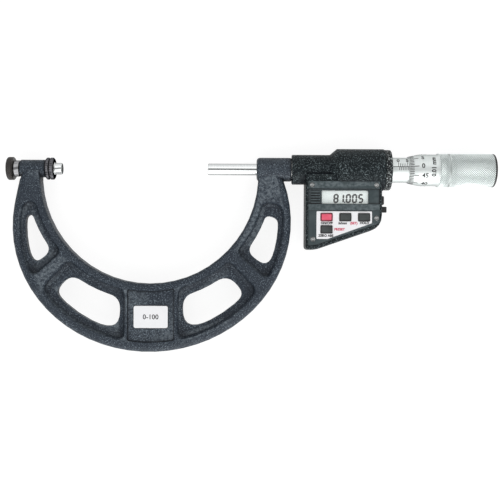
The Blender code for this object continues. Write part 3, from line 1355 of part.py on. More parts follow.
def make_electronics():
    """Circuit board, display, contact strip, switch mat and the ribbon to the stator."""
    board = slab("circuit_board", [cavity_outline(SEAT)], BOARD_BACK, BOARD_TOP, "circuit")
    clear = BOSS_RADIUS + SEAT
    outline = [(BOARD_BACK - MM, 0), (BOARD_BACK - MM, clear), (BOARD_TOP + MM, clear), (BOARD_TOP + MM, 0)]
    for number, (x, y) in enumerate(screw_places()[2:]):
        combine(board, turned(f"boss_hole_{number}", outline, steps=16, at=(x, y, 0), axis="Z"))
    half_x = WINDOW_WIDTH / 2 + PANEL_BORDER
    half_y = WINDOW_HEIGHT / 2 + PANEL_BORDER
    low = (WINDOW_X - half_x, WINDOW_Y - half_y, GLASS_BACK)
    block("lcd_panel", low, (WINDOW_X + half_x, WINDOW_Y + half_y, GLASS_TOP), "display_glass")
    strip_y = WINDOW_Y - half_y
    low = (WINDOW_X - half_x + MM, strip_y, BOARD_TOP + SEAT)
    block("contact_strip", low, (WINDOW_X + half_x - MM, strip_y + STRIP_WIDTH, GLASS_BACK - SEAT), "rubber")
    mat_low = BOARD_TOP + SEAT
    middle = (KEYPAD_X, KEYPAD_TOP - KEYPAD_RIGHT_HEIGHT)
    slab("switch_mat", [keypad_outline(SEAT)], mat_low, mat_low + MAT_THICKNESS, "rubber", middle)

    start = -CHAMBER_RADIUS + 2 * MM
    bend = CAVITY_TOP - 2 * MM
    half = RIBBON_WIDTH / 2
    ribbon = [
        (start, -half),
        (start, half),
        (bend, half),
        (bend, BOARD_BACK - SEAT),
        (bend - RIBBON_WIDTH, BOARD_BACK - SEAT),
        (bend - RIBBON_WIDTH, -half),
    ]
    strip = slab("ribbon_cable", [ribbon], -RIBBON_THICKNESS / 2, RIBBON_THICKNESS / 2, "brass")
    turn = Matrix(((0, 0, 1), (1, 0, 0), (0, 1, 0))).to_4x4()
    strip.matrix_world = Matrix.Translation((STATOR_END + 3 * SEAT, 0, 0)) @ turn


def make_battery():
    """The cell in its holder, its contact, the screwed cap in the back and the cap's seal."""
    at = (BATTERY_X, BATTERY_Y, 0)
    cell = [
        (BATTERY_BACK, 0),
        (BATTERY_BACK, BATTERY_RADIUS - TIP_CHAMFER),
        (BATTERY_BACK + TIP_CHAMFER, BATTERY_RADIUS),
        (BATTERY_TOP, BATTERY_RADIUS),
        (BATTERY_TOP, 0),
    ]
    turned("battery", cell, "ground_steel", at=at, axis="Z")
    wall_top = HOLDER_CEILING + HOLDER_WALL
    holder = [
        (BATTERY_BACK, BATTERY_RADIUS + SEAT),
        (BATTERY_BACK, HOLDER_RADIUS),
        (wall_top, HOLDER_RADIUS),
        (wall_top, BATTERY_RADIUS / 3),
        (HOLDER_CEILING, BATTERY_RADIUS / 3),
        (HOLDER_CEILING, BATTERY_RADIUS + SEAT),
    ]
    turned("battery_holder", holder, "dark_key", at=at, axis="Z")

    half = CONTACT_LENGTH / 2
    rise = HOLDER_CEILING - BATTERY_TOP - CONTACT_THICKNESS - 2 * LABEL_GAP
    bow_radius = (half * half + rise * rise) / (2 * rise)
    sweep = math.asin(half / bow_radius)
    centre = (0, BATTERY_TOP + LABEL_GAP + rise - bow_radius)
    low_arc = arc(centre, bow_radius, math.pi / 2 - sweep, math.pi / 2 + sweep, 7)
    high_arc = arc(centre, bow_radius + CONTACT_THICKNESS, math.pi / 2 + sweep, math.pi / 2 - sweep, 7)
    contact = slab("battery_contact", [low_arc + high_arc], -CONTACT_WIDTH / 2, CONTACT_WIDTH / 2, "brass")
    contact.matrix_world = Matrix.Translation(at) @ Matrix.Rotation(math.pi / 2, 4, "X")

    plug = BATTERY_RADIUS - SEAT / 2
    flange = plug + CAP_FLANGE
    flange_low = CASE_BACK + LABEL_GAP / 2
    flange_top = flange_low + CAP_FLANGE_THICKNESS
    seal_low = flange_top + LABEL_GAP
    seal_high = seal_low + SEAL_THICKNESS
    cap = [
        (flange_low, 0),
        (flange_low, flange - TIP_CHAMFER),
        (flange_low + TIP_CHAMFER, flange),
        (flange_top, flange),
        (flange_top, plug),
        (BATTERY_BACK - SEAT, plug),
        (BATTERY_BACK - SEAT, 0),
    ]
    piece = turned("battery_cap", cap, "case_plastic", at=at, axis="Z")
    reach = COIN_SLOT_LENGTH / 2
    half = COIN_SLOT_WIDTH / 2
    low = (BATTERY_X - reach, BATTERY_Y - half, CASE_BACK - MM)
    high = (BATTERY_X + reach, BATTERY_Y + half, flange_low + COIN_SLOT_DEPTH)
    combine(piece, block("coin_slot", low, high))
    seal = [(seal_low, plug + SEAT), (seal_low, flange), (seal_high, flange), (seal_high, plug + SEAT)]
    turned("cap_seal", seal, "rubber", at=at, axis="Z")


def make_port():
    """The output connector in the right wall and the rubber cover with its strap and tab."""
    outer = CASE_RIGHT - PORT_SINK
    low = (outer - PORT_LENGTH, PORT_Y - PORT_HALF, -PORT_HALF)
    port = block("output_port", low, (outer, PORT_Y + PORT_HALF, PORT_HALF), "dark_key")
    socket = PORT_SOCKET_HALF
    low = (outer - PORT_SOCKET_DEPTH, PORT_Y - socket, -socket)
    combine(port, block("socket", low, (outer + MM, PORT_Y + socket, socket)))

    face = CASE_RIGHT + SEAT
    low = (face, PORT_Y - COVER_HALF_HEIGHT, -COVER_HALF_WIDTH)
    high = (face + COVER_THICKNESS, PORT_Y + COVER_HALF_HEIGHT, COVER_HALF_WIDTH)
    cover = block("port_cover", low, high, "rubber")
    outer_face = face + COVER_THICKNESS
    round_edges(cover, COVER_ROUNDING, 2, lambda a, b: float(min(a.x, b.x) > outer_face - MM / 100))
    plug = PORT_SOCKET_HALF - SEAT
    low = (outer - PORT_SOCKET_DEPTH + 2 * SEAT, PORT_Y - plug, -plug)
    combine(cover, block("cover_plug", low, (face + MM / 2, PORT_Y + plug, plug)), "UNION")
    low = (face, TAB_TOP - MM / 2, -STRAP_HALF_WIDTH)
    high = (face + STRAP_THICKNESS, PORT_Y - COVER_HALF_HEIGHT + MM / 2, STRAP_HALF_WIDTH)
    combine(cover, block("cover_strap", low, high), "UNION")
    low = (face + STRAP_THICKNESS / 4, TAB_BOTTOM, -TAB_HALF_WIDTH)
    combine(cover, block("cover_tab", low, (face + TAB_PROUD, TAB_TOP, TAB_HALF_WIDTH)), "UNION")


def carry(name, at, children):
    """An empty on a joint's axis that carries the pieces that move together."""
    carrier = bpy.data.objects.new(name, None)
    PARTS.objects.link(carrier)
    carrier.location = at
    bpy.context.view_layer.update()
    for child in children:
        piece = bpy.data.objects[child]
        piece.parent = carrier
        piece.matrix_parent_inverse = carrier.matrix_world.inverted()


def main():
    """Builds every piece, then hangs the moving ones on their carriers."""
    clear_scene()
    make_frame()
    make_anvil_end()
    make_carrier_tube()
    make_head_housing()
    make_encoder()
    make_nut_tube()
    make_rear_ring()
    make_spindle()
    make_thimble()
    make_friction_thimble()
    make_face_plate()
    make_face_screws()
    make_keypad()
    make_electronics()
    make_battery()
    make_port()
    carry("rotor_carrier", (KEY_X, 0, 0), ["encoder_rotor", "rotor_key"])
    carry("spindle_carrier", (MEASURING_GAP, 0, 0), ["spindle", "thimble", "friction_spring", "thimble_screw"])
    carry("anvil_carrier", (HUB_FACE, 0, 0), ["anvil", "anvil_nut_front", "anvil_nut_rear"])
    carry("cap_carrier", (BATTERY_X, BATTERY_Y, CASE_BACK), ["battery_cap", "cap_seal"])


main()
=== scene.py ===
"""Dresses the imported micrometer: finishes, knurls, graduations, display, keypad, lamps, camera."""

import logging
import math
from collections.abc import Callable, Sequence
from dataclasses import dataclass

import bmesh
import bpy
from mathutils import Matrix, Vector

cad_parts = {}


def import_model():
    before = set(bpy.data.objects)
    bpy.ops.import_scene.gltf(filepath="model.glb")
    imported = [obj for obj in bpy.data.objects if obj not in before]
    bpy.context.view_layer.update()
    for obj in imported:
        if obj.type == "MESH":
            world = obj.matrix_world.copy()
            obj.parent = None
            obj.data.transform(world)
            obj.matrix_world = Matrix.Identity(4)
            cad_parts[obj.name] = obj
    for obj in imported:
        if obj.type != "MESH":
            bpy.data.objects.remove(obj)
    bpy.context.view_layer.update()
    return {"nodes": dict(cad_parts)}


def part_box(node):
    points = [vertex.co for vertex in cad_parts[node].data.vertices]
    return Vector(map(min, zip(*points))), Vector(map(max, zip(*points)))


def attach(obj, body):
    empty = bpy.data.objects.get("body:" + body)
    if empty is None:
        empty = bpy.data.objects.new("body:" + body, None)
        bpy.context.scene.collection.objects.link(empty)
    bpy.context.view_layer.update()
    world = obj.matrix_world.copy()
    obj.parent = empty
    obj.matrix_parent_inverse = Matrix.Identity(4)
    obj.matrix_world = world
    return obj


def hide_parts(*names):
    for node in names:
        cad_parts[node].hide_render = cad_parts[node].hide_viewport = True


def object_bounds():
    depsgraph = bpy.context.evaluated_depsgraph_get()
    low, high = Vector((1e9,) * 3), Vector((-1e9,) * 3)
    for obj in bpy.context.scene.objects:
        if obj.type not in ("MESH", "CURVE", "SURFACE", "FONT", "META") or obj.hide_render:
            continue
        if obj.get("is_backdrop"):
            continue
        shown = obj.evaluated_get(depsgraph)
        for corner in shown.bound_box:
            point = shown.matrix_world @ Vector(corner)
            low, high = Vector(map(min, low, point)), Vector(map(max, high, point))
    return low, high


MM = 0.001
TURN = 2 * math.pi
LIFT = 0.03 * MM  # thickness of a painted mark
GAP = 0.005 * MM  # how far a painted mark lies over its surface
ARC = 0.35 * MM  # width of the strips of a mark that is bent round a piece
STEPS = 8  # steps round each diamond or flute of a knurl
INDEX_ANGLE = math.radians(11)  # where the sleeve's index line lies, from +Z towards +Y
LOG = logging.getLogger("micrometer")

Shape = bmesh.types.BMesh
Node = bpy.types.Node
Socket = bpy.types.NodeSocket
Tree = bpy.types.NodeTree
Triple = tuple[float, float, float]
Pair = tuple[float, float]
Colour = Triple
Profile = Sequence[Pair]
Relief = Callable[[float, float], float]


class Wiring:
    """Adds nodes to one node tree and links them."""

    def __init__(self, tree: Tree) -> None:
        """Keeps the tree."""
        self.tree = tree

    def add(self, kind: str, settings: dict | None = None, inputs: dict | None = None) -> Node:
        """Adds a node.

        Args:
            kind: The node's type name.
            settings: Properties to set on the node.
            inputs: A value or an output socket for each input, by its name or number.

        Returns:
            The new node.
        """
        node = self.tree.nodes.new(kind)
        for key, value in (settings or {}).items():
            setattr(node, key, value)
        self.feed(node, inputs or {})
        return node

    def feed(self, node: Node, inputs: dict) -> None:
        """Sets inputs of a node to values, or links them to output sockets."""
        for key, value in inputs.items():
            if isinstance(value, Socket):
                self.tree.links.new(value, node.inputs[key])
            else:
                node.inputs[key].default_value = value

    def math(self, operation: str, first: object, second: object) -> Socket:
        """Adds a Math node and returns its value."""
        node = self.add("ShaderNodeMath", {"operation": operation}, {0: first, 1: second})
        return node.outputs[0]

    def times(self, first: object, second: object) -> Socket:
        """The product of two values."""
        return self.math("MULTIPLY", first, second)

    def mix(self, share: object, first: object, second: object) -> Socket:
        """Mixes two colours by a share and returns the colour."""
        node = self.add("ShaderNodeMix", {"data_type": "RGBA"}, {0: share, 6: first, 7: second})
        return node.outputs[2]

    def remap(
        self, value: Socket, low: float, high: float, to_low: float = 0.0, to_high: float = 1.0
    ) -> Socket:
        """Maps a range of values to another, clamped, and returns the result."""
        limits = {"From Min": low, "From Max": high, "To Min": to_low, "To Max": to_high}
        return self.add("ShaderNodeMapRange", None, {"Value": value, **limits}).outputs[0]

    def place(self, scale: Triple = (1.0, 1.0, 1.0)) -> Socket:
        """The piece's own coordinates in metres, stretched by a scale for each axis."""
        where = self.add("ShaderNodeTexCoord").outputs["Object"]
        node = self.add("ShaderNodeVectorMath", {"operation": "MULTIPLY"}, {0: where, 1: scale})
        return node.outputs[0]

    def noise(self, where: object, scale: object, detail: float = 2.0) -> Socket:
        """Noise between 0 and 1."""
        inputs = {"Vector": where, "Scale": scale, "Detail": detail}
        return self.add("ShaderNodeTexNoise", None, inputs).outputs["Fac"]

    def backdrop(self) -> Socket:
        """1 where the surroundings are seen: straight, in a reflection or through the lens."""
        path = self.add("ShaderNodeLightPath")
        rays = [path.outputs[f"Is {kind} Ray"] for kind in ("Camera", "Glossy", "Transmission")]
        return self.math("MAXIMUM", self.math("MAXIMUM", *rays[:2]), rays[2])


class Group(Wiring):
    """A shared shader group that mixes two colours, named Colour and Second.

    Attributes:
        given: The group's input sockets by name.
    """

    def __init__(self, name: str, values: str, results: str = "") -> None:
        """Starts the group.

        Args:
            name: The group's name.
            values: Names of the values that it takes besides its two colours.
            results: Names of the values that it returns besides its colour.
        """
        super().__init__(bpy.data.node_groups.new(name, "ShaderNodeTree"))
        sockets = [("Colour", "INPUT", "Color"), ("Second", "INPUT", "Color")]
        sockets += [(word, "INPUT", "Float") for word in values.split()]
        sockets += [("Colour", "OUTPUT", "Color")]
        sockets += [(word, "OUTPUT", "Float") for word in results.split()]
        for word, side, kind in sockets:
            self.tree.interface.new_socket(word, in_out=side, socket_type=f"NodeSocket{kind}")
        self.given = {each.name: each for each in self.add("NodeGroupInput").outputs}

    def close(self, share: Socket, **results: Socket) -> Tree:
        """Returns the group with its colours mixed by a share, and with its other results."""
        colour = self.mix(share, self.given["Colour"], self.given["Second"])
        self.feed(self.add("NodeGroupOutput"), {"Colour": colour, **results})
        return self.tree


class Effects:
    """The shared shader groups, each built once."""

    # Scale of each further layer of noise, as a share of the finish's own scale.
    SWELL, BREAKS, PATCHES, SMEARS, CLOUDS = 0.35, 0.85, 0.07, 0.06, 0.08
    # How the noise of ground metal is stretched: into rings, and into smears along the axis.
    RINGS, ALONG = (1.0, 0.015, 0.015), (0.3, 1.0, 1.0)
    WEAR_SCALE = 700.0
    AO_SAMPLES = 12

    def __init__(self) -> None:
        """Builds every group."""
        self.crinkle = self._crinkle()
        self.grinding = self._grinding()
        self.grain = self._grain()
        self.edge_wear = self._edge_wear()
        self.knurl = self._knurl()
        self.cavity = self._cavity()

    def _crinkle(self) -> Tree:
        """A pebbled crinkle film whose tips get a painted glint in the lighter second colour."""
        group = Group("Crinkle paint with painted glints", "Scale Share", "Roughness Height")
        where, scale = group.place(), group.given["Scale"]
        cells = {"Vector": where, "Scale": scale}
        pebbles = group.add("ShaderNodeTexVoronoi", {"feature": "SMOOTH_F1"}, cells)
        swell = group.noise(where, group.times(scale, self.SWELL), 3.0)
        broken = group.noise(where, group.times(scale, self.BREAKS), 3.0)
        patches = group.noise(where, group.times(scale, self.PATCHES))
        thick = group.remap(patches, 0.3, 0.6, to_low=0.45)
        # Painted glint: the pebbles' tips take the lighter second colour.
        tips = group.times(group.remap(broken, 0.53, 0.68), thick)
        rough = group.remap(broken, 0.35, 0.7, to_low=0.6, to_high=0.38)
        height = group.math("ADD", pebbles.outputs["Distance"], group.times(swell, 0.8))
        share = group.times(tips, group.given["Share"])
        return group.close(share, Roughness=rough, Height=height)

    def _grinding(self) -> Tree:
        """Fine rings left by the grinding wheel round a turned piece."""
        group = Group("Ground rings", "Scale Share Polish", "Roughness Height")
        scale = group.given["Scale"]
        rings = group.noise(group.place(self.RINGS), scale, 4.0)
        smears = group.noise(group.place(self.ALONG), group.times(scale, self.SMEARS), 3.0)
        share = group.times(group.remap(rings, 0.4, 0.75), group.given["Share"])
        uneven = group.times(group.math("ADD", rings, smears), 0.12)
        rough = group.math("ADD", group.given["Polish"], uneven)
        return group.close(share, Roughness=rough, Height=rings)

    def _grain(self) -> Tree:
        """Fine even grain of moulded plastic, rubber and film, with a faint cloudiness."""
        group = Group("Moulded grain", "Scale Share Polish", "Roughness Height")
        where, scale = group.place(), group.given["Scale"]
        fine = group.noise(where, scale, 3.0)
        clouds = group.noise(where, group.times(scale, self.CLOUDS))
        share = group.times(group.remap(clouds, 0.35, 0.7), group.given["Share"])
        rough = group.math("ADD", group.given["Polish"], group.times(fine, 0.15))
        return group.close(share, Roughness=rough, Height=fine)

    def _edge_wear(self) -> Tree:
        """Lightened outer edges, broken up by noise: partly wear and partly a painted highlight on
        the edges.
        """
        group = Group("Edge wear and painted highlight", "Share")
        edges = group.add("ShaderNodeNewGeometry").outputs["Pointiness"]
        patches = group.remap(group.noise(group.place(), self.WEAR_SCALE, 3.0), 0.35, 0.65)
        worn = group.times(group.remap(edges, 0.52, 0.62), patches)
        return group.close(group.times(worn, group.given["Share"]))

    def _cavity(self) -> Tree:
        """Painted shade: darkens the colour in hollows and at the foot of walls, by ambient
        occlusion.
        """
        group = Group("Painted shade in hollows", "Reach")
        samples, reach = {"samples": self.AO_SAMPLES}, {"Distance": group.given["Reach"]}
        open_sky = group.add("ShaderNodeAmbientOcclusion", samples, reach).outputs["AO"]
        return group.close(group.remap(open_sky, 0.62, 0.97, to_low=0.95, to_high=0.0))

    def _knurl(self) -> Tree:
        """Painted shade down in the grooves of a diamond knurl, in step with the knurl's own shape.
        """
        group = Group("Painted shade in knurl grooves", "Count Pitch Share")
        where = group.add("ShaderNodeSeparateXYZ", None, {0: group.place()}).outputs
        angle = group.math("ARCTAN2", where["Y"], where["Z"])
        turn = group.times(group.math("DIVIDE", angle, TURN), group.given["Count"])
        along = group.math("DIVIDE", where["X"], group.given["Pitch"])
        right = group.math("PINGPONG", group.math("ADD", turn, along), 0.5)
        left = group.math("PINGPONG", group.math("SUBTRACT", turn, along), 0.5)
        nearest = group.math("MINIMUM", right, left)
        groove = group.remap(nearest, 0.08, 0.3, to_low=1.0, to_high=0.0)
        return group.close(group.times(groove, group.given["Share"]))


def opaque(colour: Colour) -> tuple[float, float, float, float]:
    """The colour with an alpha of 1."""
    return (*colour, 1.0)


@dataclass(frozen=True)
class Finish:
    """A Principled finish that a shared group varies over the surface.

    Attributes:
        name: The material's name.
        colour: Main colour.
        second: Colour of the crinkle paint's painted glints on its tips, of the ground rings, and of
            the grain's clouds.
        group: Which of the shared groups varies it: crinkle, grinding or grain.
        scale: Texture scale for each metre.
        share: How much of the second colour shows.
        polish: Base roughness. Crinkle paint has its own.
        metallic: 1 for bare metal.
        bump: Depth of the relief, in metres.
        coat: Clear coat weight.
        wear: Share of lightened edges, partly wear and partly painted highlight, or 0 for none.
        worn: Colour of the lightened edges.
        alpha: Below 1 only for the clear lens.
        rim: Brightness of bare metal where it turns away from the eye, from 0 to 1.
        cavity: Reach of the painted shade in hollows and corners, or 0 for none.
        gloss: How strongly the film over the colour reflects, 0.5 for plain plastic.
        knurl: Diamonds round the piece, or 0 for a plain one.
        pitch: Length of one diamond along the axis.
        groove: Colour of the painted shade down in the knurl's grooves.
    """

    # Colour of the painted shade in hollows.
    HOLLOW = (0.004, 0.006, 0.01)
    # Share of the painted shade in the knurl's grooves.
    GROOVE_SHARE = 0.9

    name: str
    colour: Colour
    second: Colour
    group: str
    scale: float = 2500.0
    share: float = 0.5
    polish: float = 0.35
    metallic: float = 0.0
    bump: float = 0.02 * MM
    coat: float = 0.0
    wear: float = 0.0
    worn: Colour = (0.3, 0.32, 0.34)
    alpha: float = 1.0
    rim: float = 1.0
    cavity: float = 0.0
    gloss: float = 0.5
    knurl: int = 0
    pitch: float = 1.2 * MM
    groove: Colour = (0.1, 0.1, 0.1)

    def build(self, effects: Effects) -> bpy.types.Material:
        """Makes the material from the shared groups."""
        material = bpy.data.materials.new(self.name)
        material.use_nodes = True
        wiring = Wiring(material.node_tree)
        shader = material.node_tree.nodes["Principled BSDF"]
        given = {"Colour": opaque(self.colour), "Second": opaque(self.second)}
        given |= {"Scale": self.scale, "Share": self.share}
        if self.group != "crinkle":
            given["Polish"] = self.polish
        tree = {"node_tree": getattr(effects, self.group)}
        effect = wiring.add("ShaderNodeGroup", tree, given).outputs
        wiring.feed(shader, {
            "Base Color": self._layers(wiring, effects, effect["Colour"]),
            "Roughness": effect["Roughness"],
            "Metallic": self.metallic,
            "Coat Weight": self.coat,
            "Alpha": self.alpha,
            "Specular Tint": opaque((self.rim,) * 3),
            "Specular IOR Level": self.gloss,
        })
        if self.bump:
            height = {"Height": effect["Height"], "Distance": self.bump}
            relief = wiring.add("ShaderNodeBump", None, height)
            wiring.feed(shader, {"Normal": relief.outputs["Normal"]})
        return material

    def _layers(self, wiring: Wiring, effects: Effects, colour: Socket) -> Socket:
        """Lays lightened edges (wear and painted highlight), painted shade in hollows and painted
        shade in knurl grooves over a colour, and returns the colour.
        """
        layers = []
        # Lightened edges: partly wear and partly painted highlight.
        if self.wear:
            layers.append((effects.edge_wear, self.worn, {"Share": self.wear}))
        # Painted shade in hollows and at the foot of walls.
        if self.cavity:
            layers.append((effects.cavity, self.HOLLOW, {"Reach": self.cavity}))
        # Painted shade down in the knurl's grooves.
        if self.knurl:
            knurl = {"Count": self.knurl, "Pitch": self.pitch, "Share": self.GROOVE_SHARE}
            layers.append((effects.knurl, self.groove, knurl))
        for tree, second, values in layers:
            inputs = {"Colour": colour, "Second": opaque(second), **values}
            colour = wiring.add("ShaderNodeGroup", {"node_tree": tree}, inputs).outputs["Colour"]
        return colour


def metal(name: str, colour: Colour, second: Colour, **values: float | Colour) -> Finish:
    """Bare metal with the grinding wheel's rings."""
    values = {"metallic": 1.0, "bump": 0.002 * MM} | values
    return Finish(name, colour, second, "grinding", **values)


def grained(name: str, colour: Colour, second: Colour, **values: float | Colour) -> Finish:
    """Plastic, film, rubber or a chemical finish, with a fine grain."""
    return Finish(name, colour, second, "grain", **values)


def ink(name: str, colour: Colour, second: Colour, polish: float = 0.45) -> Finish:
    """Printing ink."""
    return grained(name, colour, second, scale=6000.0, share=0.4, polish=polish, bump=0.0)


# The crinkle paints' second colour is a painted glint on the pebbles' tips, their lightened edges
# are partly wear and partly painted highlight, and their darker hollows are painted shade.
FRAME_PAINT = Finish(
    "slate_crinkle", (0.021, 0.029, 0.041), (0.27, 0.33, 0.385), "crinkle", scale=2000.0,
    share=0.66, bump=0.12 * MM, gloss=0.25, wear=0.45, worn=(0.24, 0.28, 0.31), cavity=6.0 * MM,
)
HEAD_PAINT = Finish(
    "black_crinkle", (0.007, 0.011, 0.013), (0.23, 0.285, 0.3), "crinkle", scale=1900.0,
    share=0.75, bump=0.12 * MM, gloss=0.12, wear=0.2, worn=(0.1, 0.12, 0.12), cavity=8.0 * MM,
)
RING_PAINT = Finish(
    "ring_crinkle", (0.009, 0.012, 0.013), (0.6, 0.66, 0.66), "crinkle", scale=1500.0,
    share=1.0, bump=0.2 * MM, gloss=0.2,
)
GROUND_STEEL = metal(
    "ground_steel", (0.78, 0.8, 0.8), (0.5, 0.52, 0.53), scale=9000.0, share=0.35, polish=0.05,
    rim=0.0,
)
SATIN_CHROME = metal(
    "satin_chrome", (0.78, 0.82, 0.81), (0.6, 0.65, 0.64), scale=6000.0, share=0.4, polish=0.36,
    rim=0.0,
)
# Its groove colour is painted shade down in the knurl's grooves.
KNURLED_CHROME = metal(
    "knurled_chrome", (0.9, 0.95, 0.94), (0.75, 0.8, 0.79), scale=6000.0, share=0.4, polish=0.25,
    bump=0.0, knurl=48, pitch=1.217 * MM, groove=(0.34, 0.39, 0.38),
)
# Its lightened edges are partly wear and partly a painted highlight.
BLACK_NUT = metal(
    "polished_black", (0.12, 0.12, 0.13), (0.07, 0.07, 0.075), scale=6000.0, polish=0.04,
    bump=0.0, rim=0.0, wear=0.4, worn=(0.4, 0.4, 0.41),
)
COLLAR_STEEL = metal(
    "collar_steel", (0.34, 0.34, 0.35), (0.2, 0.2, 0.21), scale=5000.0, polish=0.05, rim=0.0
)
BRASS = metal(
    "turned_brass", (0.72, 0.52, 0.22), (0.55, 0.38, 0.14), scale=5000.0, share=0.4, polish=0.15
)
BLACK_OXIDE = grained(
    "black_oxide", (0.014, 0.014, 0.014), (0.03, 0.03, 0.03), scale=3000.0, share=0.6,
    bump=0.004 * MM, wear=0.15, worn=(0.25, 0.24, 0.23),
)
# Its groove colour is painted shade down in the knurl's grooves.
KNOB_OXIDE = grained(
    "knob_oxide", (0.095, 0.087, 0.082), (0.06, 0.056, 0.054), scale=3000.0, share=0.6,
    metallic=0.6, bump=0.004 * MM, knurl=34, pitch=1.18 * MM, groove=(0.008, 0.007, 0.007),
)
CASE_PLASTIC = grained(
    "case_plastic", (0.028, 0.045, 0.05), (0.055, 0.075, 0.079), scale=1500.0, share=0.8,
    polish=0.4, bump=0.05 * MM, wear=0.45, worn=(0.2, 0.24, 0.26), cavity=1.5 * MM,
)
CLEAR_LENS = grained(
    "clear_lens", (0.95, 0.98, 0.97), (1.0, 1.0, 1.0), scale=1500.0, share=0.2, polish=0.02,
    bump=0.0, alpha=0.05,
)
DISPLAY_GLASS = grained(
    "display_glass", (0.92, 1.0, 0.98), (0.95, 1.0, 1.0), scale=900.0, polish=0.25, bump=0.0
)
PRINTED_FILM = grained(
    "printed_film", (0.9, 0.9, 0.92), (0.84, 0.85, 0.87), share=0.4, bump=0.004 * MM
)
RED_KEY = grained(
    "red_key", (0.78, 0.1, 0.17), (0.9, 0.2, 0.27), scale=3000.0, share=0.6, polish=0.3,
    bump=0.006 * MM, coat=0.3,
)
DARK_KEY = grained(
    "dark_key", (0.035, 0.042, 0.042), (0.07, 0.08, 0.08), scale=3000.0, share=0.6,
    bump=0.006 * MM,
)
CIRCUIT_BOARD = grained(
    "circuit_board", (0.02, 0.13, 0.06), (0.03, 0.2, 0.09), scale=1200.0, share=0.7, polish=0.3,
    bump=0.004 * MM,
)
RUBBER = grained(
    "black_rubber", (0.014, 0.014, 0.015), (0.035, 0.036, 0.038), scale=3500.0, share=0.6,
    polish=0.6,
)
BLACK_INK = ink("black_ink", (0.012, 0.012, 0.013), (0.04, 0.04, 0.042))
RED_INK = ink("red_ink", (0.6, 0.06, 0.12), (0.7, 0.12, 0.18))
# Dark red ink for the painted shade round the red key.
RED_GAP_SHADE = ink("red_gap_shade", (0.12, 0.008, 0.018), (0.16, 0.014, 0.03), polish=0.4)

Zone = tuple[Finish, float, float]


class Palette:
    """Every finish as a material, made on first use."""

    def __init__(self) -> None:
        """Builds the shared groups."""
        self.effects = Effects()
        self._made: dict[str, bpy.types.Material] = {}

    def get(self, finish: Finish) -> bpy.types.Material:
        """The material of a finish."""
        if finish.name not in self._made:
            self._made[finish.name] = finish.build(self.effects)
        return self._made[finish.name]


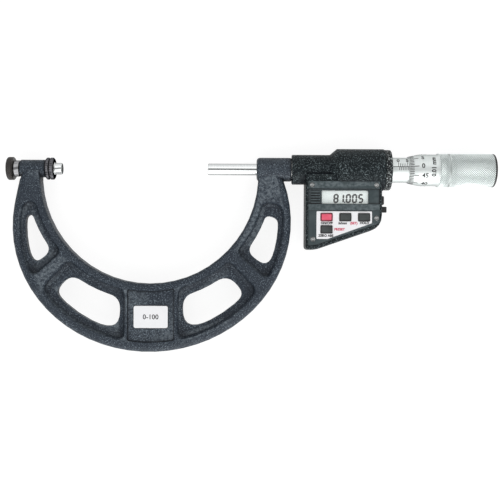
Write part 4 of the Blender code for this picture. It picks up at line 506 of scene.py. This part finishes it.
class Maker:
    """Makes meshes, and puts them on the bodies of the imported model."""

    CAPITAL = 0.69  # height of a capital in a text of size 1

    def __init__(self, palette: Palette) -> None:
        """Keeps the palette."""
        self.palette = palette

    def mount(
        self, name: str, shape: Shape, finish: Finish, body: str, crisp: float = 32.0,
        zones: Sequence[Zone] = (),
    ) -> bpy.types.Object:
        """Turns a shape into a piece that rides on a body.

        Args:
            name: The piece's name.
            shape: The shape, which is freed.
            finish: What it is finished in.
            body: The body that it rides on.
            crisp: Edges sharper than this many degrees stay crisp.
            zones: Other finishes, each with where it begins and ends along the X axis.

        Returns:
            The piece.
        """
        mesh = bpy.data.meshes.new(name)
        shape.normal_update()
        for face in shape.faces:
            along = face.calc_center_median().x
            for index, (_, first, last) in enumerate(zones, 1):
                if first < along < last:
                    face.material_index = index
        shape.to_mesh(mesh)
        shape.free()
        for each in (finish, *(zone[0] for zone in zones)):
            mesh.materials.append(self.palette.get(each))
        mesh.shade_smooth()
        mesh.set_sharp_from_angle(angle=math.radians(crisp))
        piece = bpy.data.objects.new(name, mesh)
        bpy.context.scene.collection.objects.link(piece)
        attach(piece, body)
        LOG.info("%s: %d faces on %s", name, len(mesh.polygons), body)
        return piece

    def turned(
        self, profile: Profile, steps: int, relief: Relief | None = None, ring: bool = True
    ) -> Shape:
        """A turned shape about the X axis.

        Args:
            profile: Distance along the axis and radius of each row, in order round the section.
            steps: Steps round the axis.
            relief: How far a point of the outermost rows moves outwards, from its distance
                along the axis and its angle. Bores and steps stay round.
            ring: Whether the last row joins the first. Otherwise rows of radius 0 end in a point.

        Returns:
            The shape.
        """
        shape = bmesh.new()
        tips = max(radius for _, radius in profile) - LIFT
        rows = []
        for along, radius in profile:
            if radius <= 0:
                rows.append([shape.verts.new((along, 0, 0))] * steps)
                continue
            row = []
            for step in range(steps):
                angle = TURN * step / steps
                reach = radius + (relief(along, angle) if relief and radius > tips else 0.0)
                where = (along, reach * math.sin(angle), reach * math.cos(angle))
                row.append(shape.verts.new(where))
            rows.append(row)
        for low, high in zip(rows, rows[1:] + (rows[:1] if ring else [])):
            for i in range(steps):
                j = (i + 1) % steps
                corners = list(dict.fromkeys((low[i], low[j], high[j], high[i])))
                if len(corners) > 2:
                    shape.faces.new(corners)
        bmesh.ops.recalc_face_normals(shape, faces=shape.faces)
        return shape

    def write(
        self, text: str, height: float, place: Triple, bold: float = 0.02, turn: float = 0.0
    ) -> Shape:
        """Letters that lie in the XY plane.

        Args:
            text: What is written.
            height: Height of a capital.
            place: Where the middle of the text lies.
            bold: How far the strokes are widened, as a share of the height.
            turn: The angle that the text is turned by.

        Returns:
            The letters, with a thin body.
        """
        curve = bpy.data.curves.new("letters", "FONT")
        curve.body = text
        curve.size = height / self.CAPITAL
        curve.align_x = curve.align_y = "CENTER"
        curve.resolution_u = 3
        curve.offset = height * bold
        writer = bpy.data.objects.new("letters", curve)
        bpy.context.scene.collection.objects.link(writer)
        bpy.context.view_layer.update()
        graph = bpy.context.evaluated_depsgraph_get()
        mesh = bpy.data.meshes.new_from_object(writer.evaluated_get(graph))
        bpy.data.objects.remove(writer)
        letters = bmesh.new()
        letters.from_mesh(mesh)
        bmesh.ops.remove_doubles(letters, verts=letters.verts, dist=0.001 * MM)
        if turn:
            spin = Matrix.Rotation(turn, 3, "Z")
            bmesh.ops.rotate(letters, matrix=spin, verts=letters.verts)
        self.thicken(letters)
        bmesh.ops.translate(letters, vec=place, verts=letters.verts)
        return letters

    def thicken(self, shape: Shape) -> None:
        """Gives flat faces in the XY plane a thin body above them."""
        raised = bmesh.ops.extrude_face_region(shape, geom=list(shape.faces))
        tops = [item for item in raised["geom"] if isinstance(item, bmesh.types.BMVert)]
        bmesh.ops.translate(shape, vec=(0, 0, LIFT), verts=tops)
        bmesh.ops.recalc_face_normals(shape, faces=shape.faces)

    def stroke(self, shape: Shape, low: Pair, high: Pair, cuts: int = 1) -> None:
        """Adds a rectangle in the XY plane, cut into strips along X."""
        rows = []
        for i in range(cuts + 1):
            x = low[0] + (high[0] - low[0]) * i / cuts
            rows.append((shape.verts.new((x, low[1], 0)), shape.verts.new((x, high[1], 0))))
        for (a, b), (c, d) in zip(rows, rows[1:]):
            shape.faces.new((a, c, d, b))

    def wrap(
        self, shape: Shape, radius: Callable[[float], float], angle: float = INDEX_ANGLE
    ) -> None:
        """Bends a flat shape round the X axis.

        Args:
            shape: X stays along the axis, Y goes round it, and Z goes outwards.
            radius: The surface's radius at a distance along the axis.
            angle: Where Y = 0 lies, as an angle from +Z towards +Y.
        """
        low = min(vertex.co.y for vertex in shape.verts)
        high = max(vertex.co.y for vertex in shape.verts)
        for i in range(1, math.ceil((high - low) / ARC)):
            whole = [*shape.verts, *shape.edges, *shape.faces]
            cut = (0, low + i * ARC, 0)
            bmesh.ops.bisect_plane(shape, geom=whole, plane_co=cut, plane_no=(0, 1, 0))
        for vertex in shape.verts:
            x, y, z = vertex.co
            base = radius(x)
            turn = angle + y / base
            reach = base + z + GAP
            vertex.co = (x, reach * math.sin(turn), reach * math.cos(turn))

    def join(self, whole: Shape, piece: Shape) -> None:
        """Adds one shape to another and frees it."""
        mesh = bpy.data.meshes.new("joined")
        piece.to_mesh(mesh)
        piece.free()
        whole.from_mesh(mesh)
        bpy.data.meshes.remove(mesh)


def diamonds(
    count: int, depth: float, radius: float, start: float, end: float, edge: float
) -> Relief:
    """The relief of a diamond knurl.

    Args:
        count: Diamonds round the piece.
        depth: Depth of the grooves.
        radius: Radius of the knurl's tips.
        start: Where the knurl begins along the axis.
        end: Where it ends.
        edge: Length over which it fades in at each end.

    Returns:
        The relief function.
    """
    pitch = TURN * radius / count
    steepness = 1.35

    def relief(along: float, angle: float) -> float:
        """Depth at a point, as a negative number."""
        if along <= start or along >= end:
            return 0.0
        fade = min(1.0, (along - start) / edge, (end - along) / edge)
        turn = angle * count / TURN
        first = abs(2 * ((turn + along / pitch) % 1.0) - 1)
        second = abs(2 * ((turn - along / pitch) % 1.0) - 1)
        return -depth * fade * (1 - min(1.0, steepness * min(1 - first, 1 - second)))

    return relief


def flutes(teeth: int, depth: float, start: float, end: float) -> Relief:
    """The relief of a straight knurl between two places along the axis."""

    def relief(along: float, angle: float) -> float:
        """Depth at a point, as a negative number."""
        if not start <= along <= end:
            return 0.0
        wave = abs(2 * ((angle * teeth / TURN) % 1.0) - 1)
        return -depth * wave

    return relief


def spread(first: float, last: float, count: int) -> list[float]:
    """Evenly spaced values, both ends included."""
    return [first + (last - first) * i / (count - 1) for i in range(count)]


class CastPieces:
    """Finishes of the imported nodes.

    The nodes that scene.py replaces are finished too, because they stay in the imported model.
    """

    PIECES = {
        FRAME_PAINT: "frame",
        HEAD_PAINT: "head_housing",
        RING_PAINT: "rear_ring",
        GROUND_STEEL: (
            "anvil spindle barrel_tube rotor_key spindle_nut adjusting_nut friction_spring "
            "thimble_screw battery face_screw_1 face_screw_2 face_screw_3 face_screw_4"
        ),
        COLLAR_STEEL: "clamp_washer",
        SATIN_CHROME: "sleeve thimble friction_thimble",
        BLACK_NUT: "anvil_nut_front anvil_nut_rear",
        KNOB_OXIDE: "clamp_knob",
        BRASS: "spindle_bush rotor_bearing encoder_rotor ribbon_cable battery_contact",
        CIRCUIT_BOARD: "encoder_stator circuit_board",
        CASE_PLASTIC: "face_plate battery_cap",
        CLEAR_LENS: "lcd_window",
        DISPLAY_GLASS: "lcd_panel",
        PRINTED_FILM: "range_label keypad_overlay",
        RED_KEY: "power_button",
        DARK_KEY: "units_button hold_button zero_button battery_holder output_port",
        RUBBER: "contact_strip switch_mat cap_seal port_cover",
    }
    # Width of the softened edges in millimetres, where it isn't EDGE.
    EDGES = {"frame": 1.0, "head_housing": 0.15, "face_plate": 0.06, "port_cover": 0.2}
    EDGE = 0.05
    WIDE = 0.5  # from this width on, an edge is rounded in finer steps
    CRISP = math.radians(38)  # edges sharper than this are softened
    SEAM = 0.002 * MM  # vertices closer than this are one

    def __init__(self, palette: Palette) -> None:
        """Keeps the palette."""
        self.palette = palette

    def dress(self, nodes: dict[str, bpy.types.Object]) -> None:
        """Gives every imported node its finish, smooth round faces and softened edges."""
        finishes = {
            name: finish for finish, names in self.PIECES.items() for name in names.split()
        }
        for name, node in nodes.items():
            node.data.materials.clear()
            node.data.materials.append(self.palette.get(finishes[name]))
            if node.data.has_custom_normals:
                with bpy.context.temp_override(object=node, active_object=node):
                    bpy.ops.mesh.customdata_custom_splitnormals_clear()
            node.data.shade_smooth()
            weld = node.modifiers.new("Join seams", "WELD")
            weld.merge_threshold = self.SEAM
            self._soften(node, self.EDGES.get(name, self.EDGE))
            LOG.info("%s: finished in %s", name, finishes[name].name)

    def _soften(self, node: bpy.types.Object, width: float) -> None:
        """Rounds the crisp edges a little, so that they catch the light."""
        bevel = node.modifiers.new("Soften edges", "BEVEL")
        bevel.limit_method = "ANGLE"
        bevel.angle_limit = self.CRISP
        bevel.width = width * MM
        bevel.segments = 4 if width > self.WIDE else 2
        bevel.harden_normals = True
        weights = node.modifiers.new("Flat faces", "WEIGHTED_NORMAL")
        weights.keep_sharp = True


@dataclass
class ThimbleSet:
    """Thimble with its knurl and graduations, and the friction thimble.

    Attributes:
        edge_radius: Radius of the bevel's front edge.
        plain_radius: Radius of the plain part.
        knurl_radius: Radius of the knurl's tips.
        bevel: Length of the bevel.
        plain: Length of the plain part.
        step: Length of the step up to the knurl.
        lip: Size of the bright lip behind the thimble's knurl.
        seam: Gap between the two thimbles.
        broken: Size of the thimble's broken front edge.
        neck_radius: Radius of the neck inside the friction thimble.
        neck_reach: How far the neck reaches into the friction thimble.
        inside: Radius of each bore in turn: neck, cone's seat, screw and front.
        inner_steps: Where those bores end, from the back of the lip.
        spring_groove: Start, end and radius of the groove for the spring, from the same place.
        cap_edge: Size of the friction thimble's front edge.
        cap_rim: Radius of its rounded back rim.
        cap_bores: Radius of its bore, of the recess in its back and of the screw's hole.
        cap_floors: How far the recess and the end of the bore lie from its back end.
        black: How far the blackened back end reaches over the knurl.
        depth: Depth of the knurl.
        fade: Length over which the knurl's grooves run out.
    """

    edge_radius: float = 7.4 * MM
    plain_radius: float = 8.75 * MM
    knurl_radius: float = 9.3 * MM
    bevel: float = 6.5 * MM
    plain: float = 9.2 * MM
    step: float = 0.9 * MM
    lip: float = 0.4 * MM
    seam: float = 0.06 * MM
    broken: float = 0.06 * MM
    neck_radius: float = 7.6 * MM
    neck_reach: float = 22.9 * MM
    inside: tuple[float, ...] = (5.7 * MM, 3.275 * MM, 4.025 * MM, 7.15 * MM)
    inner_steps: Pair = (12.7 * MM, 3.5 * MM)
    spring_groove: Triple = (15.8 * MM, 19.6 * MM, 7.0 * MM)
    cap_edge: float = 0.45 * MM
    cap_rim: float = 0.9 * MM
    cap_bores: Triple = (7.9 * MM, 5.3 * MM, 3.15 * MM)
    cap_floors: Pair = (1.4 * MM, 2.8 * MM)
    black: float = 0.35 * MM
    depth: float = 0.34 * MM
    fade: float = 0.3 * MM

    def surface(self, start: float) -> Callable[[float], float]:
        """The radius of the thimble's bevel and plain part at a distance along the axis."""

        def radius(along: float) -> float:
            """Radius there."""
            share = min(1.0, max(0.0, (along - start) / self.bevel))
            return self.edge_radius + (self.plain_radius - self.edge_radius) * share

        return radius

    def build(self, maker: Maker) -> None:
        """Makes the thimble, its marks and the friction thimble."""
        low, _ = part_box("thimble")
        cap_low, cap_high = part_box("friction_thimble")
        self._thimble(maker, low[0], cap_low[0])
        self._marks(maker, low[0])
        self._friction(maker, cap_low[0], cap_high[0])

    def _knurled(self, maker: Maker, profile: Profile, start: float, end: float) -> Shape:
        """A turned shape with a diamond knurl from one place along the axis to another."""
        count = KNURLED_CHROME.knurl
        relief = diamonds(count, self.depth, self.knurl_radius, start, end, self.fade)
        return maker.turned(profile, count * STEPS, relief)

    def _thimble(self, maker: Maker, start: float, cap: float) -> None:
        """The whole thimble: bevel, plain part, knurled band with its bright lip, and neck."""
        full = start + self.bevel
        knurl = full + self.plain
        band = knurl + self.step
        end = cap - self.lip
        last = end - self.lip
        face = cap - self.seam
        outer, plain, cut = self.knurl_radius, self.plain_radius, self.broken
        neck, seat, screw, bore = self.inside
        back, front = (end + step for step in self.inner_steps)
        groove_start, groove_end, groove = self.spring_groove
        profile = [(start, bore), (start, self.edge_radius - cut), (start + cut, self.edge_radius)]
        profile += [(full - 0.1 * MM, plain - 0.02 * MM), (full + 0.2 * MM, plain), (knurl, plain)]
        profile += [(knurl + self.step * 0.6, outer - 0.12 * MM), (band, outer)]
        profile += [(x, outer) for x in spread(band, last, 27)[1:]]
        profile += [(face, outer - self.lip - 0.1 * MM), (face, self.neck_radius)]
        profile += [(end + groove_start, self.neck_radius), (end + groove_start, groove)]
        profile += [(end + groove_end, groove), (end + groove_end, self.neck_radius)]
        profile += [(end + self.neck_reach, self.neck_radius), (end + self.neck_reach, neck)]
        profile += [(back, neck), (back, seat), (front, screw), (front, bore)]
        shape = self._knurled(maker, profile, band, last)
        zone = (KNURLED_CHROME, band - 0.1 * MM, last)
        piece = maker.mount("thimble_knurled", shape, SATIN_CHROME, "spindle", 40, [zone])
        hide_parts("thimble")

    def _marks(self, maker: Maker, start: float) -> None:
        """Fifty divisions, their numbers, and the value of one division."""
        divisions, numbered = 50, 5
        inset, half, long, short = 0.25 * MM, 0.2 * MM, 5.1 * MM, 2.6 * MM
        numbers, one_figure, two_figures, value_place = 6.2, 1.15, 2.3, 13.2
        lines = bmesh.new()
        radius = self.surface(start)
        for division in range(divisions):
            angle = INDEX_ANGLE + TURN * division / divisions
            reach = short if division % numbered else long
            line = bmesh.new()
            maker.stroke(line, (start + inset, -half), (start + reach, half), 6)
            maker.thicken(line)
            maker.wrap(line, radius, angle)
            maker.join(lines, line)
            if division % numbered == 0:
                left = one_figure if division < 10 else two_figures
                place = (start + (numbers + left) * MM, 0, 0)
                number = maker.write(str(division), 2.5 * MM, place, bold=0.04)
                maker.wrap(number, radius, angle)
                maker.join(lines, number)
        place = (start + value_place * MM, 0, 0)
        value = maker.write("0.01 mm", 2.3 * MM, place, bold=0.05, turn=math.pi / 2)
        maker.wrap(value, radius)
        maker.join(lines, value)
        marks = maker.mount("thimble_marks", lines, BLACK_INK, "spindle")

    def _friction(self, maker: Maker, start: float, end: float) -> None:
        """The friction thimble with its long diamond knurl and rounded rim."""
        outer, rim = self.knurl_radius, self.cap_rim
        first, last = start + self.cap_edge, end - rim
        bore, recess, hole = self.cap_bores
        sink, floor = (end - depth for depth in self.cap_floors)
        profile = [(start, bore), (start, outer - self.cap_edge), (first, outer)]
        profile += [(x, outer) for x in spread(first, last, 121)[1:]]
        for turn in spread(0.0, math.pi / 2, 6)[1:]:
            profile.append((last + rim * math.sin(turn), outer - rim * (1 - math.cos(turn))))
        profile += [(end, recess + 0.05 * MM), (end - 0.1 * MM, recess), (sink, recess)]
        profile += [(sink, hole), (floor, hole), (floor, bore)]
        shape = self._knurled(maker, profile, first, last)
        black = last - self.black
        zones = [(KNURLED_CHROME, first, black), (BLACK_OXIDE, black, end + MM)]
        name = "friction_thimble"
        piece = maker.mount(f"{name}_knurled", shape, SATIN_CHROME, name, 40, zones)
        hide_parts("friction_thimble")


@dataclass
class SleeveScale:
    """Index line, divisions and numbers of the sleeve.

    Attributes:
        radius: The sleeve's radius.
        bore: Radius of its bore.
        chamfer: Size of the edge at each end.
        zero: From the sleeve's front end to its zero line.
        line: Half of the index line's width.
        tick: Half of a division's width.
    """

    radius: float = 6.9 * MM
    bore: float = 6.15 * MM
    chamfer: float = 0.15 * MM
    zero: float = 3.4 * MM
    line: float = 0.19 * MM
    tick: float = 0.14 * MM

    def build(self, maker: Maker) -> None:
        """Makes the round sleeve, and its scale as one painted piece."""
        low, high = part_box("sleeve")
        self._tube(maker, low[0], high[0])
        start = low[0] + self.zero
        whole = bmesh.new()
        half, tick, inset = self.line, self.tick, 0.3 * MM
        long, short, below = 2.8 * MM, 2.0 * MM, -1.9 * MM
        maker.stroke(whole, (low[0] + inset, -half), (high[0] - inset, half))
        for millimetre in range(16):
            x = start + millimetre * MM
            reach = short if millimetre % 5 else long
            maker.stroke(whole, (x - tick, half), (x + tick, reach))
            x += 0.5 * MM
            maker.stroke(whole, (x - tick, below), (x + tick, -half))
        maker.thicken(whole)
        for number in (0, 5, 10, 15):
            place = (start + number * MM, 4.1 * MM, 0)
            maker.join(whole, maker.write(str(number), 2.2 * MM, place, bold=0.05))
        maker.wrap(whole, lambda along: self.radius)
        piece = maker.mount("sleeve_scale", whole, BLACK_INK, "body")

    def _tube(self, maker: Maker, start: float, end: float) -> None:
        """The sleeve itself, ground round."""
        cut = self.chamfer
        profile = [(start, self.bore), (start, self.radius - cut), (start + cut, self.radius)]
        profile += [(x, self.radius) for x in spread(start + cut, end - cut, 6)[1:]]
        profile += [(end, self.radius - cut), (end, self.bore)]
        piece = maker.mount("sleeve_ground", maker.turned(profile, 144), SATIN_CHROME, "body")
        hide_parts("sleeve")


@dataclass
class AnvilEnd:
    """Knurled nuts and clamp knob.

    Attributes:
        nut_radius: Radius of the nuts.
        nut_bore: Radius of their bore.
        nut_chamfer: Size of their shoulders.
        teeth: Teeth round a nut.
        tooth: Depth of a nut's knurl.
        knob_radius: Radius of the knob.
        rounding: Radius of the knob's rounded back.
        knob_edge: Size of its front edge.
        knob_floor: Thickness of its back.
        knob_depth: Depth of its knurl.
        fade: Length over which its grooves run out.
        stud_radius: Radius of its bore.
    """

    nut_radius: float = 6.1 * MM
    nut_bore: float = 3.75 * MM
    nut_chamfer: float = 0.45 * MM
    teeth: int = 36
    tooth: float = 0.22 * MM
    knob_radius: float = 6.4 * MM
    rounding: float = 0.9 * MM
    knob_edge: float = 0.45 * MM
    knob_floor: float = 1.1 * MM
    knob_depth: float = 0.26 * MM
    fade: float = 0.25 * MM
    stud_radius: float = 2.55 * MM

    def build(self, maker: Maker) -> None:
        """Makes the two nuts and the knob."""
        for name in ("anvil_nut_front", "anvil_nut_rear"):
            low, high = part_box(name)
            self._nut(maker, name, low[0], high[0])
        low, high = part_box("clamp_knob")
        self._knob(maker, low[0], high[0])

    def _nut(self, maker: Maker, name: str, start: float, end: float) -> None:
        """A nut with a fine straight knurl and turned shoulders."""
        cut, bore, outer = 0.1 * MM, self.nut_bore, self.nut_radius
        first, last = start + self.nut_chamfer, end - self.nut_chamfer
        shoulder = outer - self.nut_chamfer
        profile = [(start, bore), (start, shoulder - cut), (start + cut, shoulder)]
        profile += [(x, outer) for x in spread(first, last, 4)]
        profile += [(end - cut, shoulder), (end, shoulder - cut), (end, bore)]
        relief = flutes(self.teeth, self.tooth, first, last)
        shape = maker.turned(profile, self.teeth * STEPS, relief)
        piece = maker.mount(name + "_knurled", shape, BLACK_NUT, "anvil", 45)
        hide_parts(name)

    def _knob(self, maker: Maker, start: float, end: float) -> None:
        """The knob with its diamond knurl, rounded back and blind bore."""
        outer, rounding, floor = self.knob_radius, self.rounding, start + self.knob_floor
        profile = [(start, 0.0), (start, 2.0 * MM), (start, outer - rounding - 0.6 * MM)]
        for turn in reversed(spread(0.0, math.pi / 2, 5)):
            along = start + rounding * (1 - math.sin(turn))
            profile.append((along, outer - rounding * (1 - math.cos(turn))))
        first, last = start + rounding, end - self.knob_edge
        profile += [(x, outer) for x in spread(first, last, 18)[1:]]
        profile += [(end, outer - self.knob_edge), (end, self.stud_radius)]
        profile += [(floor, self.stud_radius), (floor, 0.0)]
        count = KNOB_OXIDE.knurl
        relief = diamonds(count, self.knob_depth, outer, first, last, self.fade)
        shape = maker.turned(profile, count * STEPS, relief, ring=False)
        piece = maker.mount("clamp_knob_knurled", shape, KNOB_OXIDE, "clamp_knob", 45)
        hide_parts("clamp_knob")


# The strokes of a figure by their usual letters, as (across, up, upright) in shares of it.
STROKES = {
    "a": (0.5, 1.0, False),
    "b": (1.0, 0.75, True),
    "c": (1.0, 0.25, True),
    "d": (0.5, 0.0, False),
    "e": (0.0, 0.25, True),
    "f": (0.0, 0.75, True),
    "g": (0.5, 0.5, False),
}
FIGURES = {"0": "afbecd", "1": "bc", "5": "afgcd", "8": "afbgecd"}


@dataclass
class Display:
    """The reading, the keypad's words, the painted shade round the keys, and the frame label's
    numbers.

    Attributes:
        left: Left side of the first figure.
        bottom: Lower side of the figures.
        pitch: From one figure to the next.
        width: Width between the middles of a figure's upright strokes.
        height: Height between the middles of its top and bottom strokes.
        stroke: Width of a stroke.
        overlap: How far a stroke's points reach past its end, as a share of its width.
        lone: Where the strokes of a 1 stand, as a share of the width.
        slant: How far the figures lean for each unit of height.
        dot_gap: From the dot's middle to the next figure.
        dot: Half of the dot's width and height.
        rim_inset: From a key's side to the painted shade line round its top.
        rim: Width of that line.
    """

    READING = "81.005"
    # Each word of the keypad with its middle in millimetres, and its ink.
    WORDS = (
        ("ON/OFF", 146.4, -29.9, BLACK_INK),
        ("in/mm", 155.1, -29.9, BLACK_INK),
        ("(SET)", 161.2, -29.9, RED_INK),
        ("HOLD", 167.0, -29.75, BLACK_INK),
        ("ZERO ABS", 145.95, -36.75, BLACK_INK),
        ("PRESET", 153.4, -33.3, RED_INK),
    )
    WORD_HEIGHT, WORD_BOLD = 1.25 * MM, 0.07
    RANGE, RANGE_HEIGHT, RANGE_PLACE = "0-100", 2.6 * MM, (50.0 * MM, -82.0 * MM)

    left: float = 150.45 * MM
    bottom: float = -18.35 * MM
    pitch: float = 3.39 * MM
    width: float = 1.95 * MM
    height: float = 4.1 * MM
    stroke: float = 0.95 * MM
    overlap: float = 0.1
    lone: float = 0.82
    slant: float = 0.06
    dot_gap: float = 0.9 * MM
    dot: Pair = (0.42 * MM, 0.4 * MM)
    rim_inset: float = 0.68 * MM
    rim: float = 0.42 * MM

    def build(self, maker: Maker) -> None:
        """Makes the reading, the painted shade round the keys, the keypad's words and the label's
        numbers.
        """
        self._reading(maker)
        for key in ("power", "units", "hold", "zero"):
            self._rim(maker, f"{key}_button")
        self._words(maker)
        self._label(maker)

    def _reading(self, maker: Maker) -> None:
        """The figures that the display shows."""
        _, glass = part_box("lcd_panel")
        figures = bmesh.new()
        across_dot, up_dot = self.dot
        place = 0
        for sign in self.READING:
            start = self.left + place * self.pitch
            if sign == ".":
                x, y = start - self.dot_gap, self.bottom
                low, high = (x - across_dot, y - up_dot), (x + across_dot, y + up_dot)
                maker.stroke(figures, low, high)
                continue
            for letter in FIGURES[sign]:
                across, up, upright = STROKES[letter]
                across = self.lone if sign == "1" else across
                rise = up * self.height
                centre = (start + across * self.width + rise * self.slant, self.bottom + rise)
                reach = self.height / 4 if upright else self.width / 2
                half = (self.stroke / 2, reach + self.stroke * self.overlap)
                self._bar(figures, centre, half if upright else half[::-1])
            place += 1
        maker.thicken(figures)
        bmesh.ops.translate(figures, vec=(0, 0, glass[2] + 2 * GAP), verts=figures.verts)
        reading = maker.mount("lcd_reading", figures, BLACK_INK, "body")

    def _bar(self, shape: Shape, centre: Pair, half: Pair) -> None:
        """Adds one stroke with pointed ends."""
        (x, y), (a, b) = centre, half
        cut = min(a, b)
        lean = self.slant * b
        if b > a:
            points = [(x - a, y - b + cut), (x, y - b), (x + a, y - b + cut), (x + a, y + b - cut)]
            points += [(x, y + b), (x - a, y + b - cut)]
        else:
            points = [(x - a, y), (x - a + cut, y - b), (x + a - cut, y - b), (x + a, y)]
            points += [(x + a - cut, y + b), (x - a + cut, y + b)]
        shape.faces.new([shape.verts.new((px + lean * (py - y) / b, py, 0)) for px, py in points])

    def _words(self, maker: Maker) -> None:
        """Words beside the keys, in black and in red."""
        _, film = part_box("keypad_overlay")
        for finish in (BLACK_INK, RED_INK):
            whole = bmesh.new()
            for text, x, y, colour in self.WORDS:
                if colour is finish:
                    place = (x * MM, y * MM, film[2] + GAP)
                    word = maker.write(text, self.WORD_HEIGHT, place, bold=self.WORD_BOLD)
                    maker.join(whole, word)
            piece = maker.mount(f"key_words_{finish.name}", whole, finish, "body")

    def _label(self, maker: Maker) -> None:
        """The measuring range on the frame's label."""
        _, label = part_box("range_label")
        place = (*self.RANGE_PLACE, label[2] + GAP)
        text = maker.write(self.RANGE, self.RANGE_HEIGHT, place)
        piece = maker.mount("range_numbers", text, BLACK_INK, "body")

    def _rim(self, maker: Maker, key: str) -> None:
        """Painted shade: a dark line round the top of a key, standing for the shadow in the gap
        round it, inside the lip that the panel hides.
        """
        low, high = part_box(key)
        ring = bmesh.new()
        loops = []
        for inset in (self.rim_inset, self.rim_inset + self.rim):
            left, bottom = low[0] + inset, low[1] + inset
            right, top = high[0] - inset, high[1] - inset
            corners = ((left, bottom), (right, bottom), (right, top), (left, top))
            loops.append([ring.verts.new((x, y, 0)) for x, y in corners])
        outside, inside = loops
        for i in range(4):
            j = (i + 1) % 4
            ring.faces.new((outside[i], outside[j], inside[j], inside[i]))
        maker.thicken(ring)
        bmesh.ops.translate(ring, vec=(0, 0, high[2] + 0.003 * MM), verts=ring.verts)
        # The painted shade is dark red on the red key and black on the others.
        finish = RED_GAP_SHADE if key == "power_button" else BLACK_INK
        piece = maker.mount(f"{key}_rim", ring, finish, key)


@dataclass
class Studio:
    """Floor, lamps, surroundings and camera.

    Attributes:
        target: What the middle of the picture shows, in the plane of the measuring axis.
        distance: Camera's height over that plane.
        width: Width of that plane in the picture.
        roll: How far the picture is turned, in radians.
        floor_size: Half of the floor's side, in metres.
        floor_glow: How bright the floor looks by itself, so that it stays white.
    """

    # Each lamp's place from the target and its size, both in metres, and its power in watts.
    LAMPS = {
        "key_lamp": ((0.12, -0.82, 0.62), 1.6, 8.7),
        "back_lamp": ((0.0, 0.74, 0.7), 1.0, 2.4),
        "low_lamp": ((0.1, -1.0, 0.3), 0.8, 4.6),
    }

    target: Pair = (104.55 * MM, -44.75 * MM)
    distance: float = 480.0 * MM
    width: float = 278.2 * MM
    roll: float = 0.0047
    floor_size: float = 3.0
    floor_glow: float = 0.85

    def build(self) -> None:
        """Sets up everything round the object."""
        scene = bpy.context.scene
        scene.view_settings.view_transform = "Standard"
        self._camera(scene)
        self._floor()
        self._world(scene)
        for name, (offset, size, power) in self.LAMPS.items():
            self._lamp(name, offset, size, power)

    def _camera(self, scene: bpy.types.Scene) -> None:
        """The camera straight above the object."""
        data = bpy.data.cameras.new("camera")
        data.sensor_fit = "HORIZONTAL"
        data.lens = data.sensor_width * self.distance / self.width
        data.clip_start = 0.01
        camera = bpy.data.objects.new("camera", data)
        scene.collection.objects.link(camera)
        camera.location = (*self.target, self.distance)
        camera.rotation_euler = (0, 0, self.roll)
        scene.camera = camera

    def _floor(self) -> None:
        """A plain white floor that keeps the object's shadow."""
        low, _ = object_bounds()
        shape = bmesh.new()
        bmesh.ops.create_grid(shape, x_segments=1, y_segments=1, size=self.floor_size)
        mesh = bpy.data.meshes.new("floor")
        shape.to_mesh(mesh)
        shape.free()
        floor = bpy.data.objects.new("floor", mesh)
        bpy.context.scene.collection.objects.link(floor)
        floor.location = (*self.target, low[2] - 0.05 * MM)
        material = bpy.data.materials.new("white_floor")
        material.use_nodes = True
        nodes = material.node_tree.nodes
        wiring = Wiring(material.node_tree)
        tone = wiring.remap(wiring.noise(wiring.place(), 6.0), 0.3, 0.7, 0.24, 0.26)
        colour = wiring.add("ShaderNodeCombineColor", None, {0: tone, 1: tone, 2: tone})
        shader = nodes["Principled BSDF"]
        wiring.feed(shader, {
            "Base Color": colour.outputs[0], "Roughness": 0.9, "Specular IOR Level": 0.0
        })
        strength = wiring.times(wiring.backdrop(), self.floor_glow)
        glow = wiring.add("ShaderNodeEmission", None, {"Strength": strength})
        both = wiring.add("ShaderNodeAddShader", None, {0: shader.outputs[0], 1: glow.outputs[0]})
        wiring.feed(nodes["Material Output"], {"Surface": both.outputs[0]})
        mesh.materials.append(material)
        floor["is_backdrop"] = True

    def _world(self, scene: bpy.types.Scene) -> None:
        """A bright room with a dark ceiling patch and dark sides, behind a white backdrop."""
        world = bpy.data.worlds.new("studio")
        scene.world = world
        world.use_nodes = True
        wiring = Wiring(world.node_tree)
        direction = wiring.add("ShaderNodeTexCoord").outputs["Generated"]
        height = wiring.add("ShaderNodeSeparateXYZ", None, {0: direction}).outputs["Z"]
        rise = wiring.remap(height, 0.25, 0.6, to_low=0.15, to_high=0.6)
        ceiling = wiring.remap(height, 0.95, 0.985, to_low=1.0, to_high=0.3)
        sides = wiring.remap(height, 0.2, 0.3, to_low=1.0, to_high=0.0)
        room = wiring.times(rise, ceiling)
        strength = wiring.math("MAXIMUM", room, wiring.times(wiring.backdrop(), sides))
        white = opaque((1.0, 1.0, 1.0))
        wiring.feed(world.node_tree.nodes["Background"], {"Color": white, "Strength": strength})

    def _lamp(self, name: str, offset: Triple, size: float, power: float) -> None:
        """A soft square lamp that faces the object."""
        data = bpy.data.lights.new(name, "AREA")
        data.size = size
        data.energy = power
        lamp = bpy.data.objects.new(name, data)
        bpy.context.scene.collection.objects.link(lamp)
        middle = Vector((*self.target, 0.0))
        lamp.location = middle + Vector(offset)
        lamp.rotation_euler = (lamp.location - middle).to_track_quat("Z", "Y").to_euler()


def main() -> None:
    """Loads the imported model, dresses it and sets up the studio."""
    logging.basicConfig(level=logging.INFO, format="%(message)s")
    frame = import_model()
    palette = Palette()
    maker = Maker(palette)
    CastPieces(palette).dress(frame["nodes"])
    ThimbleSet().build(maker)
    SleeveScale().build(maker)
    AnvilEnd().build(maker)
    Display().build(maker)
    Studio().build()


if __name__ == "__main__":
    main()
